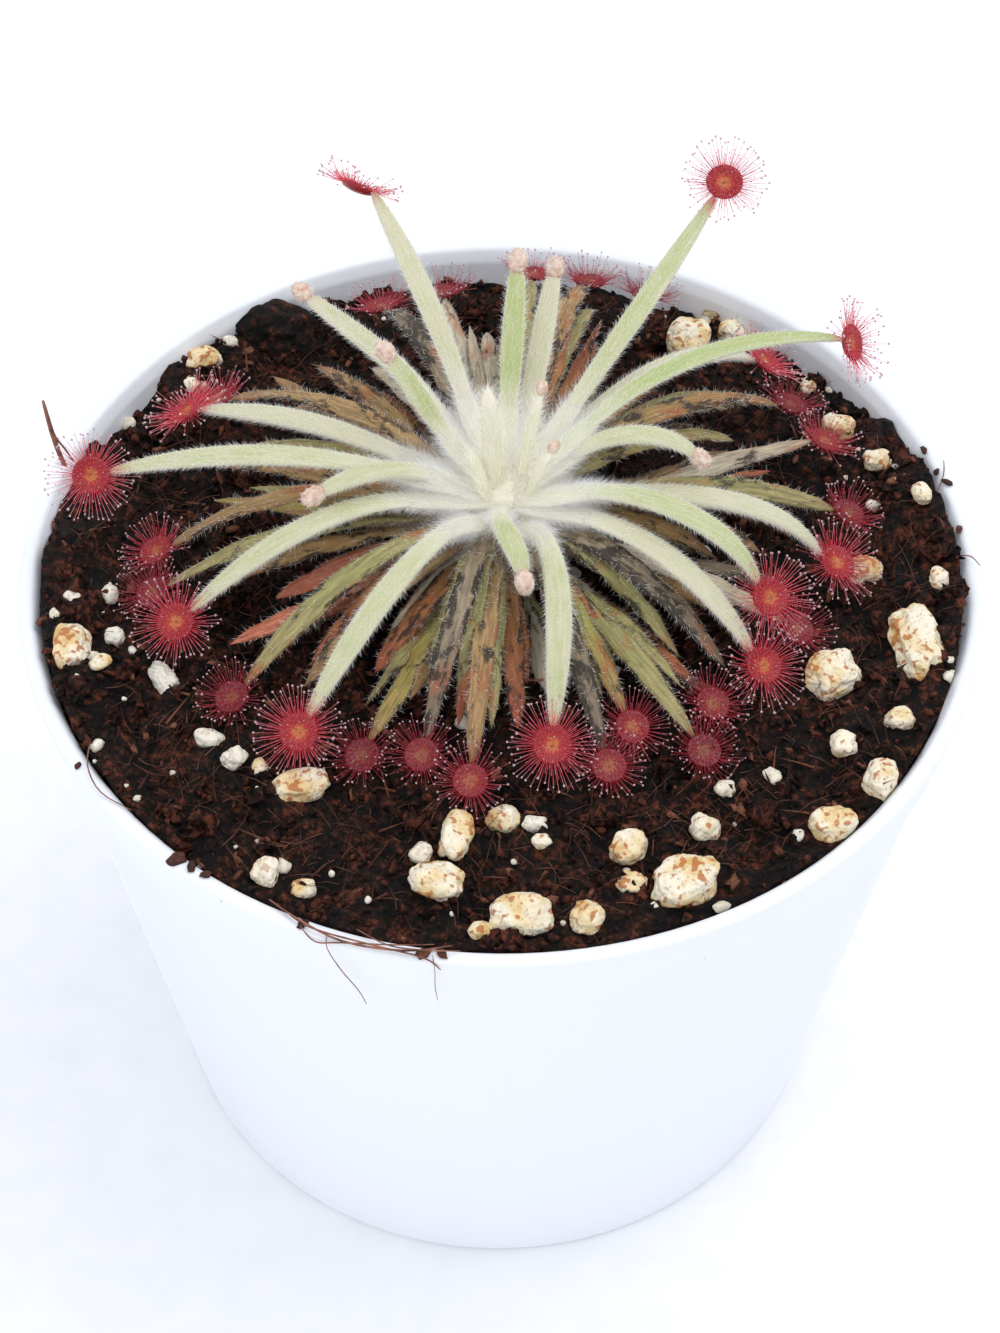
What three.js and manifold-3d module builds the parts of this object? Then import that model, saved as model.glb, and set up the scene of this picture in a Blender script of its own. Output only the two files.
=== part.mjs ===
// A woolly sundew growing in a round plastic pot, in millimetres, +Z up, origin at the middle of the
// pot's foot. The pot holds one bed of soil, and the plant's crown stands in a hole in that bed.
// Flat arched leaf stalks leave the crown in tiers: the youngest stand up, the oldest lie on the soil.
// Each open leaf ends in a round trap, a small disc fringed with tentacles.
import * as THREE from "three";
import { mergeVertices } from "three/addons/utils/BufferGeometryUtils.js";
import Module from "manifold-3d";

const wasm = await Module();
wasm.setup();

// ---------------------------------------------------------------- driving dimensions
const CLEARANCE = 0.3; // between pieces that rest on each other
const ROOT_GAP = 0.65; // level distance from the head's slope to the middle of a leaf's root
const TRAP_GAP = 0.4; // from a stalk's end to the rim of its trap

const POT = {
  rimRadius: 45,
  height: 68,
  footRadius: 33.5,
  wall: 1.25,
  lip: 1.4, // thickness of the rolled top edge
  collarHeight: 6.5,
  collarStep: 0.7, // how far the collar stands out from the wall below it
  footWidth: 3,
  footHeight: 1.5,
  floor: 1.2,
  drainHoles: 6,
  drainRadius: 2.6,
  drainCircle: 21,
  edge: 0.6, // how far its edges and corners are cut back
  sides: 44,
};

const SOIL = {
  frontDrop: 0.7, // the bed's edge lies this far under the rim in front
  backDrop: 3.4, // and this far at the back
  dish: 0.8, // the middle lies this much deeper than the edge
  roughness: 0.45,
  rings: 7,
  stoneHeight: 0.9, // a stone's height, as a share of its breadth
  stoneRise: 0.1, // how far its middle stands over the bed, as a share of its breadth
  stoneRoll: 51, // degrees by which each stone is rolled over from the one before
};

// Pumice stones and peat clods lying in the bed: where each one's middle is, its length, its breadth,
// and the turn of its long side from +X, in degrees. They show for about two thirds of their breadth.
const STONES = [
  { x: -39, y: -10.5, long: 5.6, broad: 3.6, turn: 90 },
  { x: -35.4, y: -8.5, long: 2.1, broad: 1.9, turn: 20 },
  { x: -30.6, y: -13, long: 4.4, broad: 2.4, turn: 125 },
  { x: -26, y: -20, long: 3, broad: 2, turn: 165 },
  { x: -23.5, y: -22.5, long: 2.4, broad: 2.1, turn: 40 },
  { x: -17.6, y: -25.5, long: 6, broad: 3.2, turn: 8 },
  { x: -20, y: -35, long: 2.7, broad: 2.6, turn: 0 },
  { x: -3.6, y: -30.8, long: 5.3, broad: 3.1, turn: 80 },
  { x: -5.2, y: -35.8, long: 5.6, broad: 3.9, turn: -15 },
  { x: 0.4, y: -28.6, long: 3.1, broad: 2.8, turn: 0 },
  { x: 2, y: -39.5, long: 5.8, broad: 4.2, turn: 10 },
  { x: 7.7, y: -39, long: 3.4, broad: 3, turn: 60 },
  { x: 11.3, y: -31.6, long: 3.6, broad: 3.1, turn: 60 },
  { x: 11.6, y: -35.5, long: 3, broad: 2.6, turn: 0 },
  { x: 16.3, y: -35.4, long: 6.6, broad: 4.9, turn: 28 },
  { x: 18, y: -29.3, long: 3, broad: 2.7, turn: 0 },
  { x: 30.2, y: -12, long: 5.7, broad: 4.3, turn: 35 },
  { x: 30.7, y: -20.4, long: 2.7, broad: 2.4, turn: 0 },
  { x: 33.8, y: -24, long: 4.1, broad: 3.2, turn: 70 },
  { x: 29.3, y: -29, long: 4.6, broad: 3.2, turn: 20 },
  { x: 36, y: -17, long: 2.8, broad: 2.3, turn: 0 },
  { x: 38, y: -8.5, long: 8.4, broad: 4.4, turn: 105 },
  { x: 34, y: 0.8, long: 3.6, broad: 3.3, turn: 0 },
  { x: 32.8, y: 20.7, long: 3.5, broad: 3.2, turn: 0 },
  { x: 36, y: 15.3, long: 2.8, broad: 2.4, turn: 0 },
  { x: 18.4, y: 33.5, long: 5.8, broad: 4.4, turn: 80 },
  { x: 23, y: 35, long: 3.1, broad: 2.6, turn: 0 },
  { x: -29.8, y: 28.2, long: 3.6, broad: 2.8, turn: 20 },
  { x: -23, y: 34, long: 9, broad: 6.5, turn: -25 },
  { x: -36.3, y: -12.6, long: 2.2, broad: 1.7, turn: 30 },
  { x: -36.2, y: -3.7, long: 2.1, broad: 1.6, turn: 80 },
  { x: -39.4, y: -5, long: 2, broad: 1.5, turn: 140 },
  { x: -21.2, y: -23.6, long: 2, broad: 1.6, turn: 100 },
  { x: -16.8, y: -36.5, long: 2.6, broad: 1.9, turn: 10 },
  { x: -6.6, y: -32.6, long: 2.4, broad: 2, turn: 60 },
  { x: 3.2, y: -29.4, long: 2.4, broad: 1.7, turn: 170 },
  { x: 3.8, y: -31.4, long: 1.9, broad: 1.5, turn: 20 },
  { x: -1.4, y: -41, long: 2.3, broad: 1.9, turn: 0 },
  { x: 20, y: -25, long: 2, broad: 1.7, turn: 40 },
  { x: 24.3, y: -23.6, long: 2.1, broad: 1.6, turn: 120 },
  { x: 40.6, y: -1.3, long: 2.6, broad: 1.9, turn: 95 },
  { x: 21.6, y: 38, long: 2.4, broad: 2, turn: 15 },
  { x: 30.4, y: 27.6, long: 2.3, broad: 1.8, turn: 70 },
  { x: -30.4, y: 24.6, long: 2.4, broad: 1.8, turn: 150 },
  { x: 39.8, y: 9.6, long: 2.6, broad: 2, turn: 110 },
];

const CROWN = {
  y: 3, // the plant sits a little behind the pot's axis
  radius: 5,
  neck: 74.2, // height above the ground where the woolly head begins
  shoulder: 76.2,
  dome: 5,
  stemRadius: 2.3,
  stemFoot: 59,
  sides: 14,
  shootSink: 2, // how deep the shoots' feet lie in the head
  shootFoot: 0.4, // distance of a shoot's foot from the axis, as a share of its tip's
};

// The youngest leaves still stand folded in the middle of the head. out: the tip's distance from the
// crown's axis. tip: its height above the ground.
const SHOOTS = [
  { azimuth: 150, out: 2.1, tip: 86.5 },
  { azimuth: 20, out: 4.2, tip: 85.6 },
  { azimuth: 265, out: 2.9, tip: 84 },
  { azimuth: 75, out: 3.9, tip: 84.4 },
  { azimuth: 205, out: 4.4, tip: 83.4 },
];

// The dead and dying leaves sheathe the stem under the head in tiers, each a ring of joined leaf bases.
const SKIRT = {
  inner: 2.6,
  outer: 4.6,
  thickness: 1,
  leavesPerPiece: 5,
  tiers: [
    { attach: 73.35, launch: 30, droop: 42 },
    { attach: 72.0, launch: 20, droop: 30 },
    { attach: 70.65, launch: 10, droop: 18 },
    { attach: 69.3, launch: 4, droop: 4 },
  ],
};

const STALK = {
  open: { width: 2.7, thickness: 1.3, tipWidth: 0.95, sides: 6, steps: 8 },
  bud: { width: 2.4, thickness: 1.4, tipWidth: 1.5, sides: 6, steps: 6 },
  shoot: { width: 2.1, thickness: 1.3, tipWidth: 1.1, sides: 5, steps: 2 },
  old: { width: 2.2, thickness: 0.85, tipWidth: 0.8, sides: 5, steps: 6 },
};
const STALK_SHAPE = {
  rootWidth: 0.62, // as a share of the full width
  rootThickness: 0.62, // as a share of the full thickness
  widestPoint: 1.2, // exponent that moves the widest point towards the tip
  fullness: 0.75, // exponent that fills out both ends
  leavingHandle: 0.4, // the midrib's handles, as shares of its span
  arrivingHandle: 0.36,
};
const BUD_KNOB = { length: 2.6, width: 1.9 };

const TRAP = {
  open: { radius: 1.75, thickness: 0.9, tentacle: 2.5, facets: 9 },
  old: { radius: 1.6, thickness: 0.8, tentacle: 2.3, facets: 6 },
  faceRadius: 0.86, // the upper face's radius, as a share of the disc's
  needleWidth: 0.34, // share of a facet that a tentacle's foot takes
  needleRise: 22, // degrees that the fringe lifts off the disc's plane
  faceNeedle: 0.55, // length of the tentacles on the face, as a share of the fringe's
  faceRise: 68,
};

// Leaves by hand. azimuth: degrees from +X round the crown. reach: from the crown's axis to the end of
// the stalk. tip: height of that end above the ground. attach: height where it leaves the head.
// launch: the stalk's climb there. droop: its fall at the end. sweep: sideways bend, in degrees.
// faces and tilt: the azimuth that an open trap's face leans towards, and how far from straight up.
const OPEN_LEAVES = [
  { azimuth: 181, reach: 35.5, tip: 78, attach: 76.3, launch: 30, droop: 20, sweep: -4,
    faces: 280, tilt: 44 },
  { azimuth: 116, reach: 28, tip: 88.5, attach: 76.6, launch: 40, droop: -16, sweep: 2,
    faces: 64, tilt: 50 },
  { azimuth: 52, reach: 31.5, tip: 88.8, attach: 76.6, launch: 34, droop: -22, sweep: 4,
    faces: 270, tilt: 25 },
  { azimuth: 22, reach: 33.4, tip: 83, attach: 76.4, launch: 52, droop: 22, sweep: -6,
    faces: -20, tilt: 60 },
  { azimuth: -24, reach: 25.2, tip: 75, attach: 76.6, launch: 34, droop: 62, sweep: -6,
    faces: -60, tilt: 35 },
  { azimuth: -34, reach: 27, tip: 71.2, attach: 75.4, launch: 26, droop: 50, sweep: -4,
    faces: -50, tilt: 34 },
  { azimuth: -79, reach: 25, tip: 72, attach: 76.4, launch: 26, droop: 40, sweep: -16,
    faces: -85, tilt: 32 },
  { azimuth: -125, reach: 29, tip: 72, attach: 76.4, launch: 30, droop: 38, sweep: -2,
    faces: -95, tilt: 32 },
  { azimuth: -157, reach: 30.2, tip: 72, attach: 75.6, launch: 34, droop: 38, sweep: 2,
    faces: -110, tilt: 34 },
  { azimuth: 160, reach: 30, tip: 75, attach: 75.4, launch: 24, droop: 22, sweep: -4,
    faces: 160, tilt: 30 },
  { azimuth: 40, reach: 31, tip: 73, attach: 75.4, launch: 24, droop: 44, sweep: -4,
    faces: 20, tilt: 34 },
  { azimuth: -6, reach: 29.5, tip: 70.8, attach: 75.4, launch: 12, droop: 60, sweep: 0,
    faces: -30, tilt: 26 },
];

const BUD_LEAVES = [
  { azimuth: 133, reach: 27.4, tip: 80.4, attach: 76.4, launch: 34, droop: -2, sweep: 2 },
  { azimuth: 86, reach: 16.5, tip: 87.6, attach: 77.4, launch: 52, droop: -40, sweep: 0 },
  { azimuth: 77, reach: 20.5, tip: 83.6, attach: 76, launch: 32, droop: -14, sweep: 3 },
  { azimuth: 2, reach: 17.5, tip: 79.8, attach: 77.2, launch: 50, droop: 44, sweep: -14 },
  { azimuth: -82, reach: 13.6, tip: 79, attach: 78, launch: 26, droop: 50, sweep: 10 },
  { azimuth: -164, reach: 17, tip: 79.8, attach: 77.8, launch: 34, droop: 22, sweep: 6 },
  { azimuth: 149, reach: 12, tip: 86, attach: 78.4, launch: 44, droop: -44, sweep: 0 },
];

const OLD_LEAVES = [
  { azimuth: -176, reach: 30.5, tip: 69.8 },
  { azimuth: -167, reach: 31.2, tip: 69.8 },
  { azimuth: -159, reach: 22, tip: 69, dry: true },
  { azimuth: -150, reach: 28, tip: 69.6, dry: true },
  { azimuth: -141, reach: 29.2, tip: 69.4 },
  { azimuth: -133, reach: 25.5, tip: 69.4, dry: true },
  { azimuth: -124, reach: 20, tip: 69, dry: true },
  { azimuth: -115, reach: 26.8, tip: 69.2 },
  { azimuth: -105, reach: 24.8, tip: 69.2 },
  { azimuth: -95, reach: 27, tip: 69.4 },
  { azimuth: -86, reach: 23, tip: 69.2, dry: true },
  { azimuth: -77, reach: 19, tip: 69, dry: true },
  { azimuth: -70, reach: 26.6, tip: 69.2 },
  { azimuth: -62, reach: 23.4, tip: 69.2 },
  { azimuth: -54, reach: 29, tip: 69.2 },
  { azimuth: -46, reach: 25.6, tip: 69.4 },
  { azimuth: -38, reach: 25.6, tip: 69.4, dry: true },
  { azimuth: -30, reach: 21, tip: 69.2, dry: true },
  { azimuth: -22, reach: 27.4, tip: 69.6 },
  { azimuth: -13, reach: 26, tip: 69.6, dry: true },
  { azimuth: -4, reach: 24, tip: 69.2, dry: true },
  { azimuth: 6, reach: 31, tip: 69.8 },
  { azimuth: 14, reach: 24, tip: 69.6, dry: true },
  { azimuth: 22, reach: 31.4, tip: 70 },
  { azimuth: 32, reach: 31, tip: 70.2 },
  { azimuth: 41, reach: 27, tip: 70.2, dry: true },
  { azimuth: 52, reach: 26, tip: 70.6, dry: true },
  { azimuth: 65, reach: 31.4, tip: 72 },
  { azimuth: 75, reach: 30.4, tip: 73.2 },
  { azimuth: 85, reach: 30, tip: 73.4 },
  { azimuth: 94, reach: 24, tip: 72, dry: true },
  { azimuth: 102, reach: 28, tip: 73 },
  { azimuth: 113, reach: 29.4, tip: 71.8 },
  { azimuth: 122, reach: 24, tip: 70.6, dry: true },
  { azimuth: 131, reach: 27.6, tip: 70.4, dry: true },
  { azimuth: 139, reach: 29.4, tip: 70.2, dry: true },
  { azimuth: 148, reach: 31, tip: 70 },
  { azimuth: 157, reach: 26, tip: 70, dry: true },
  { azimuth: 165, reach: 29, tip: 70.4, dry: true },
  { azimuth: 174, reach: 27, tip: 70.4, dry: true },
];
const OLD_TILT = 22;

// ---------------------------------------------------------------- materials
const plastic = new THREE.MeshStandardMaterial({ color: 0xf4f6fa, roughness: 0.35, metalness: 0 });
const peat = new THREE.MeshStandardMaterial({ color: 0x3a2a22, roughness: 1, metalness: 0 });
const wool = new THREE.MeshStandardMaterial({ color: 0xdfe3cc, roughness: 0.95, metalness: 0 });
const silverLeaf = new THREE.MeshStandardMaterial({ color: 0xc6d3a2, roughness: 0.85, metalness: 0 });
const oldLeaf = new THREE.MeshStandardMaterial({ color: 0xa08a52, roughness: 0.9, metalness: 0 });
const redTrap = new THREE.MeshStandardMaterial({ color: 0xb3202b, roughness: 0.4, metalness: 0 });

// ---------------------------------------------------------------- small helpers
const UP = new THREE.Vector3(0, 0, 1);
const radians = THREE.MathUtils.degToRad;
const lerp = THREE.MathUtils.lerp;

/** A closed geometry with one vertex for each corner, and nothing but positions. */
function welded(geometry) {
  const bare = geometry.clone();
  bare.deleteAttribute("normal");
  bare.deleteAttribute("uv");
  return mergeVertices(bare, 1e-4);
}

/** A manifold-3d solid of a closed geometry. */
function solidOf(geometry) {
  const closed = welded(geometry);
  return new wasm.Manifold(
    new wasm.Mesh({
      numProp: 3,
      vertProperties: new Float32Array(closed.attributes.position.array),
      triVerts: new Uint32Array(closed.index.array),
    }),
  );
}

/** The three.js geometry of a manifold-3d solid. */
function geometryOf(solid) {
  const mesh = solid.getMesh();
  return new THREE.BufferGeometry()
    .setAttribute("position", new THREE.BufferAttribute(mesh.vertProperties, 3))
    .setIndex(new THREE.BufferAttribute(mesh.triVerts, 1));
}

/** A named mesh with flat-shaded facets. */
function piece(name, geometry, material) {
  const flat = geometry.index ? geometry.toNonIndexed() : geometry;
  flat.computeVertexNormals();
  const mesh = new THREE.Mesh(flat, material);
  mesh.name = name;
  return mesh;
}

/** A profile of [radius, height] pairs turned round the Z axis. */
function turned(profile, sides) {
  const points = profile.map(([radius, height]) => new THREE.Vector2(radius, height));
  return new THREE.LatheGeometry(points, sides).rotateX(Math.PI / 2);
}

/** An upright round solid to cut with, from one height to another. */
function drill(x, y, from, to, radius) {
  const sides = 12;
  const bar = new THREE.CylinderGeometry(radius, radius, to - from, sides).rotateX(Math.PI / 2);
  return solidOf(bar.translate(x, y, (from + to) / 2));
}

/** The unit vector at an azimuth, in degrees, in the ground plane. */
function outward(azimuth) {
  return new THREE.Vector3(Math.cos(radians(azimuth)), Math.sin(radians(azimuth)), 0);
}

/** The point at an azimuth and a distance from the crown's axis, at a height above the ground. */
function fromAxis(azimuth, distance, height) {
  return outward(azimuth).multiplyScalar(distance).add(new THREE.Vector3(0, CROWN.y, height));
}

/** A direction that climbs away from the crown at an azimuth, both in degrees. */
function climbing(azimuth, climb) {
  return outward(azimuth)
    .multiplyScalar(Math.cos(radians(climb)))
    .addScaledVector(UP, Math.sin(radians(climb)));
}

// ---------------------------------------------------------------- pot
/** Outer radius of the plain wall at a height. */
function wallRadius(height) {
  const top = POT.rimRadius - POT.collarStep;
  return lerp(POT.footRadius, top, height / POT.height);
}

/** Radius of the pot's inside at a height. */
function insideRadius(height) {
  return wallRadius(height) - POT.wall;
}

function makePot() {
  const collar = POT.height - POT.collarHeight;
  const floorTop = POT.footHeight + POT.floor;
  const footInside = POT.footRadius - POT.footWidth;
  const profile = [
    [0, POT.footHeight],
    [footInside - POT.edge, POT.footHeight],
    [footInside, 0],
    [POT.footRadius - POT.edge, 0],
    [wallRadius(POT.edge), POT.edge],
    [wallRadius(collar), collar],
    [wallRadius(collar) + POT.collarStep, collar + POT.edge],
    [POT.rimRadius, POT.height - POT.edge],
    [POT.rimRadius - POT.edge, POT.height],
    [POT.rimRadius - POT.lip, POT.height],
    [insideRadius(POT.height - POT.lip), POT.height - POT.lip],
    [insideRadius(floorTop + POT.edge), floorTop + POT.edge],
    [insideRadius(floorTop) - POT.edge, floorTop],
    [0, floorTop],
  ];
  let body = solidOf(turned(profile, POT.sides));
  for (let i = 0; i < POT.drainHoles; i++) {
    const at = outward((i * 360) / POT.drainHoles).multiplyScalar(POT.drainCircle);
    body = body.subtract(drill(at.x, at.y, 0, 2 * floorTop, POT.drainRadius));
  }
  return piece("pot", geometryOf(body), plastic);
}

// ---------------------------------------------------------------- crown
/** Radius of the crown's woolly head at a height, where leaves attach. */
function headRadius(height) {
  const climb = Math.max(0, (height - CROWN.shoulder) / CROWN.dome);
  return CROWN.radius * Math.sqrt(1 - Math.min(1, climb) ** 2);
}

function makeCrown() {
  const profile = [
    [0, CROWN.stemFoot],
    [CROWN.stemRadius, CROWN.stemFoot + 1],
    [CROWN.stemRadius, CROWN.neck],
    [CROWN.radius * 0.9, CROWN.neck],
    [CROWN.radius, lerp(CROWN.neck, CROWN.shoulder, 0.35)],
    [CROWN.radius, CROWN.shoulder],
  ];
  for (const share of [0.35, 0.6, 0.8, 0.93]) {
    const height = CROWN.shoulder + CROWN.dome * share;
    profile.push([headRadius(height), height]);
  }
  const top = CROWN.shoulder + CROWN.dome;
  profile.push([0, top]);
  let body = solidOf(turned(profile, CROWN.sides).translate(0, CROWN.y, 0));
  for (const { azimuth, out, tip } of SHOOTS) {
    const foot = fromAxis(azimuth, out * CROWN.shootFoot, top - CROWN.shootSink);
    const shoot = new THREE.LineCurve3(foot, fromAxis(azimuth, out, tip));
    body = body.add(solidOf(stalkGeometry(shoot, STALK.shoot)));
  }
  return piece("crown", geometryOf(body), wool);
}

// ---------------------------------------------------------------- leaves
/** A leaf's midrib, from where it leaves the crown to the end of its stalk. */
function midrib(leaf) {
  const root = fromAxis(leaf.azimuth - leaf.sweep, leaf.rootRadius, leaf.attach);
  const end = fromAxis(leaf.azimuth, leaf.reach, leaf.tip);
  const span = root.distanceTo(end);
  const leaving = climbing(leaf.azimuth - leaf.sweep, leaf.launch);
  const arriving = climbing(leaf.azimuth + leaf.sweep, -leaf.droop);
  return new THREE.CubicBezierCurve3(
    root,
    root.clone().addScaledVector(leaving, span * STALK_SHAPE.leavingHandle),
    end.clone().addScaledVector(arriving, -span * STALK_SHAPE.arrivingHandle),
    end,
  );
}

/** A flattened tube along a curve, widest just past its middle and narrow at both ends. */
function stalkGeometry(curve, size) {
  const tube = new THREE.CylinderGeometry(1, 1, 1, size.sides, size.steps);
  const spots = tube.attributes.position;
  for (let i = 0; i < spots.count; i++) {
    const along = THREE.MathUtils.clamp(spots.getY(i) + 0.5, 0, 1);
    const swell = Math.sin(Math.PI * along ** STALK_SHAPE.widestPoint) ** STALK_SHAPE.fullness;
    const narrow = lerp(STALK_SHAPE.rootWidth * size.width, size.tipWidth, along);
    const width = lerp(narrow, size.width, swell);
    const thickness = size.thickness * lerp(STALK_SHAPE.rootThickness, 1, swell);
    const tangent = curve.getTangent(along);
    const side = tangent.clone().cross(UP).normalize();
    const face = side.clone().cross(tangent);
    const spot = curve
      .getPoint(along)
      .addScaledVector(side, (spots.getX(i) * width) / 2)
      .addScaledVector(face, (spots.getZ(i) * thickness) / 2);
    spots.setXYZ(i, spot.x, spot.y, spot.z);
  }
  return tube;
}

/** Every leaf with its size, root, name and midrib filled in. */
function listLeaves() {
  const leaves = [];
  const offHead = (leaf) => headRadius(leaf.attach) + ROOT_GAP;
  OPEN_LEAVES.forEach((leaf, i) => {
    leaves.push({ ...leaf, kind: "open", name: `open_leaf_${i + 1}`, rootRadius: offHead(leaf) });
  });
  BUD_LEAVES.forEach((leaf, i) => {
    leaves.push({ ...leaf, kind: "bud", name: `bud_leaf_${i + 1}`, rootRadius: offHead(leaf) });
  });
  OLD_LEAVES.forEach((leaf, i) => {
    const tier = SKIRT.tiers[i % SKIRT.tiers.length];
    const rest = { sweep: 0, faces: leaf.azimuth, tilt: OLD_TILT, rootRadius: SKIRT.outer - 1 };
    leaves.push({ ...rest, ...tier, ...leaf, kind: "old", tier });
  });
  return leaves.map((leaf) => ({ ...leaf, curve: midrib(leaf) }));
}

/** The stalk of an open leaf; its trap is a piece of its own. */
function makeOpenLeaf(leaf) {
  return piece(leaf.name, stalkGeometry(leaf.curve, STALK.open), silverLeaf);
}

/** A young leaf: its stalk with the still folded trap as a knob at the end. */
function makeBudLeaf(leaf) {
  const way = leaf.curve.getTangent(1);
  const middle = leaf.curve.getPoint(1).addScaledVector(way, BUD_KNOB.length * 0.3);
  const knob = new THREE.IcosahedronGeometry(0.5, 0)
    .scale(BUD_KNOB.length, BUD_KNOB.width, BUD_KNOB.width)
    .applyQuaternion(new THREE.Quaternion().setFromUnitVectors(new THREE.Vector3(1, 0, 0), way))
    .translate(middle.x, middle.y, middle.z);
  const body = solidOf(stalkGeometry(leaf.curve, STALK.bud)).add(solidOf(knob));
  return piece(leaf.name, geometryOf(body), silverLeaf);
}

/** An arc of joined leaf bases round the stem, between two azimuths in degrees. */
function skirtArc(tier, from, to) {
  const trim = THREE.MathUtils.radToDeg(CLEARANCE / 2 / SKIRT.inner);
  const arc = new THREE.Shape()
    .absarc(0, 0, SKIRT.outer, radians(from + trim), radians(to - trim), false)
    .absarc(0, 0, SKIRT.inner, radians(to - trim), radians(from + trim), true);
  return new THREE.ExtrudeGeometry(arc, {
    depth: SKIRT.thickness,
    bevelEnabled: false,
    curveSegments: 5,
  }).translate(0, CROWN.y, tier.attach - SKIRT.thickness / 2);
}

/** The old leaves: in each tier, neighbours joined at their bases into a few pieces. */
function makeOldLeaves(leaves) {
  const pieces = [];
  for (const tier of SKIRT.tiers) {
    const ring = leaves.filter((leaf) => leaf.tier === tier).sort((a, b) => a.azimuth - b.azimuth);
    // Azimuth of leaf i, going on past a full turn either way, and the one halfway to the leaf before.
    const turns = (i) => Math.floor(i / ring.length);
    const azimuthOf = (i) => ring[i - turns(i) * ring.length].azimuth + 360 * turns(i);
    const halfway = (i) => (azimuthOf(i - 1) + azimuthOf(i)) / 2;
    for (let first = 0; first < ring.length; first += SKIRT.leavesPerPiece) {
      const last = Math.min(first + SKIRT.leavesPerPiece, ring.length);
      let body = solidOf(skirtArc(tier, halfway(first), halfway(last)));
      for (const leaf of ring.slice(first, last)) {
        body = body.add(solidOf(stalkGeometry(leaf.curve, STALK.old)));
      }
      pieces.push(piece(`old_leaves_${pieces.length + 1}`, geometryOf(body), oldLeaf));
    }
  }
  return pieces;
}

// ---------------------------------------------------------------- traps
/** Where a leaf's trap sits: its middle, its face's normal, and the way its stalk points in its plane. */
function trapSeat(leaf) {
  const size = TRAP[leaf.kind];
  const arriving = leaf.curve.getTangent(1);
  const normal = climbing(leaf.faces, 90 - leaf.tilt);
  const along = arriving.clone().addScaledVector(normal, -arriving.dot(normal)).normalize();
  const middle = leaf.curve
    .getPoint(1)
    .addScaledVector(arriving, TRAP_GAP)
    .addScaledVector(along, size.radius);
  return { middle, normal, along };
}

/** Points along every stalk, each with its leaf. */
function stalkPoints(leaves) {
  return leaves.flatMap((leaf) => leaf.curve.getPoints(60).map((at) => ({ at, leaf })));
}

/** Whether a tentacle from foot to tip keeps clear of the bed and of every stalk. */
function staysClear(foot, tip, points) {
  if (tip.z < bedHeight(tip.x, tip.y) + CLEARANCE) return false;
  const line = new THREE.Line3(foot, tip);
  const near = new THREE.Vector3();
  return points.every(({ at, leaf }) => {
    line.closestPointToPoint(at, true, near);
    return near.distanceTo(at) > STALK[leaf.kind].width / 2 + CLEARANCE;
  });
}

/** A disc whose rim facets, and on an open leaf its top facets too, are drawn out into tentacles. */
function trapGeometry(leaf, points) {
  const size = TRAP[leaf.kind];
  const { middle, normal, along } = trapSeat(leaf);
  const across = along.clone().cross(normal);
  const { radius, thickness, facets } = size;
  const disc = new THREE.CylinderGeometry(radius * TRAP.faceRadius, radius, thickness, facets, 1);
  const spots = disc.toNonIndexed().attributes.position;
  const toPlace = (v) =>
    middle
      .clone()
      .addScaledVector(along, v.x)
      .addScaledVector(normal, v.y)
      .addScaledVector(across, v.z);
  const corners = [];
  const addFace = (a, b, c) => corners.push(...a.toArray(), ...b.toArray(), ...c.toArray());
  for (let i = 0; i < spots.count; i += 3) {
    const facet = [0, 1, 2].map((k) => new THREE.Vector3().fromBufferAttribute(spots, i + k));
    const heart = facet[0].clone().add(facet[1]).add(facet[2]).divideScalar(3);
    const isRim = Math.abs(heart.y) < thickness / 3;
    const isFace = heart.y > thickness / 3 && leaf.kind === "open";
    const rise = radians(isRim ? TRAP.needleRise : TRAP.faceRise);
    const way = new THREE.Vector3(heart.x, 0, heart.z).normalize().multiplyScalar(Math.cos(rise));
    way.y = Math.sin(rise);
    const foot = toPlace(heart);
    const tip = toPlace(heart.addScaledVector(way, size.tentacle * (isRim ? 1 : TRAP.faceNeedle)));
    const placed = facet.map(toPlace);
    if (!(isRim || isFace) || !staysClear(foot, tip, points)) {
      addFace(...placed);
      continue;
    }
    const ring = placed.map((corner) => foot.clone().lerp(corner, TRAP.needleWidth));
    placed.forEach((corner, k) => {
      const next = (k + 1) % 3;
      addFace(corner, placed[next], ring[k]);
      addFace(placed[next], ring[next], ring[k]);
      addFace(ring[k], ring[next], tip);
    });
  }
  return new THREE.BufferGeometry().setAttribute(
    "position",
    new THREE.BufferAttribute(new Float32Array(corners), 3),
  );
}

/** Traps whose tentacles interlock are one body, so each cluster of them is one piece. */
function makeTraps(leaves) {
  const points = stalkPoints(leaves);
  const trapped = leaves.filter((leaf) => leaf.kind !== "bud" && !leaf.dry);
  const all = wasm.Manifold.union(trapped.map((leaf) => solidOf(trapGeometry(leaf, points))));
  return all.decompose().map((body, i) => piece(`traps_${i + 1}`, geometryOf(body), redTrap));
}

// ---------------------------------------------------------------- soil
/** Height of the bed at a place, without its stones: it falls to the back, and clods make it uneven. */
function bedHeight(x, y) {
  const back = THREE.MathUtils.smoothstep(y, -POT.rimRadius / 3, POT.rimRadius * 0.8);
  const edge = POT.height - lerp(SOIL.frontDrop, SOIL.backDrop, back);
  const dish = SOIL.dish * (1 - (Math.hypot(x, y) / POT.rimRadius) ** 2);
  const clods =
    Math.sin(x * 0.42 + 1.3 * Math.sin(y * 0.21)) * Math.cos(y * 0.37 - 0.9 * Math.sin(x * 0.19)) +
    0.4 * Math.sin(x * 0.7 - y * 0.6);
  return edge - dish + SOIL.roughness * clods;
}

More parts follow.
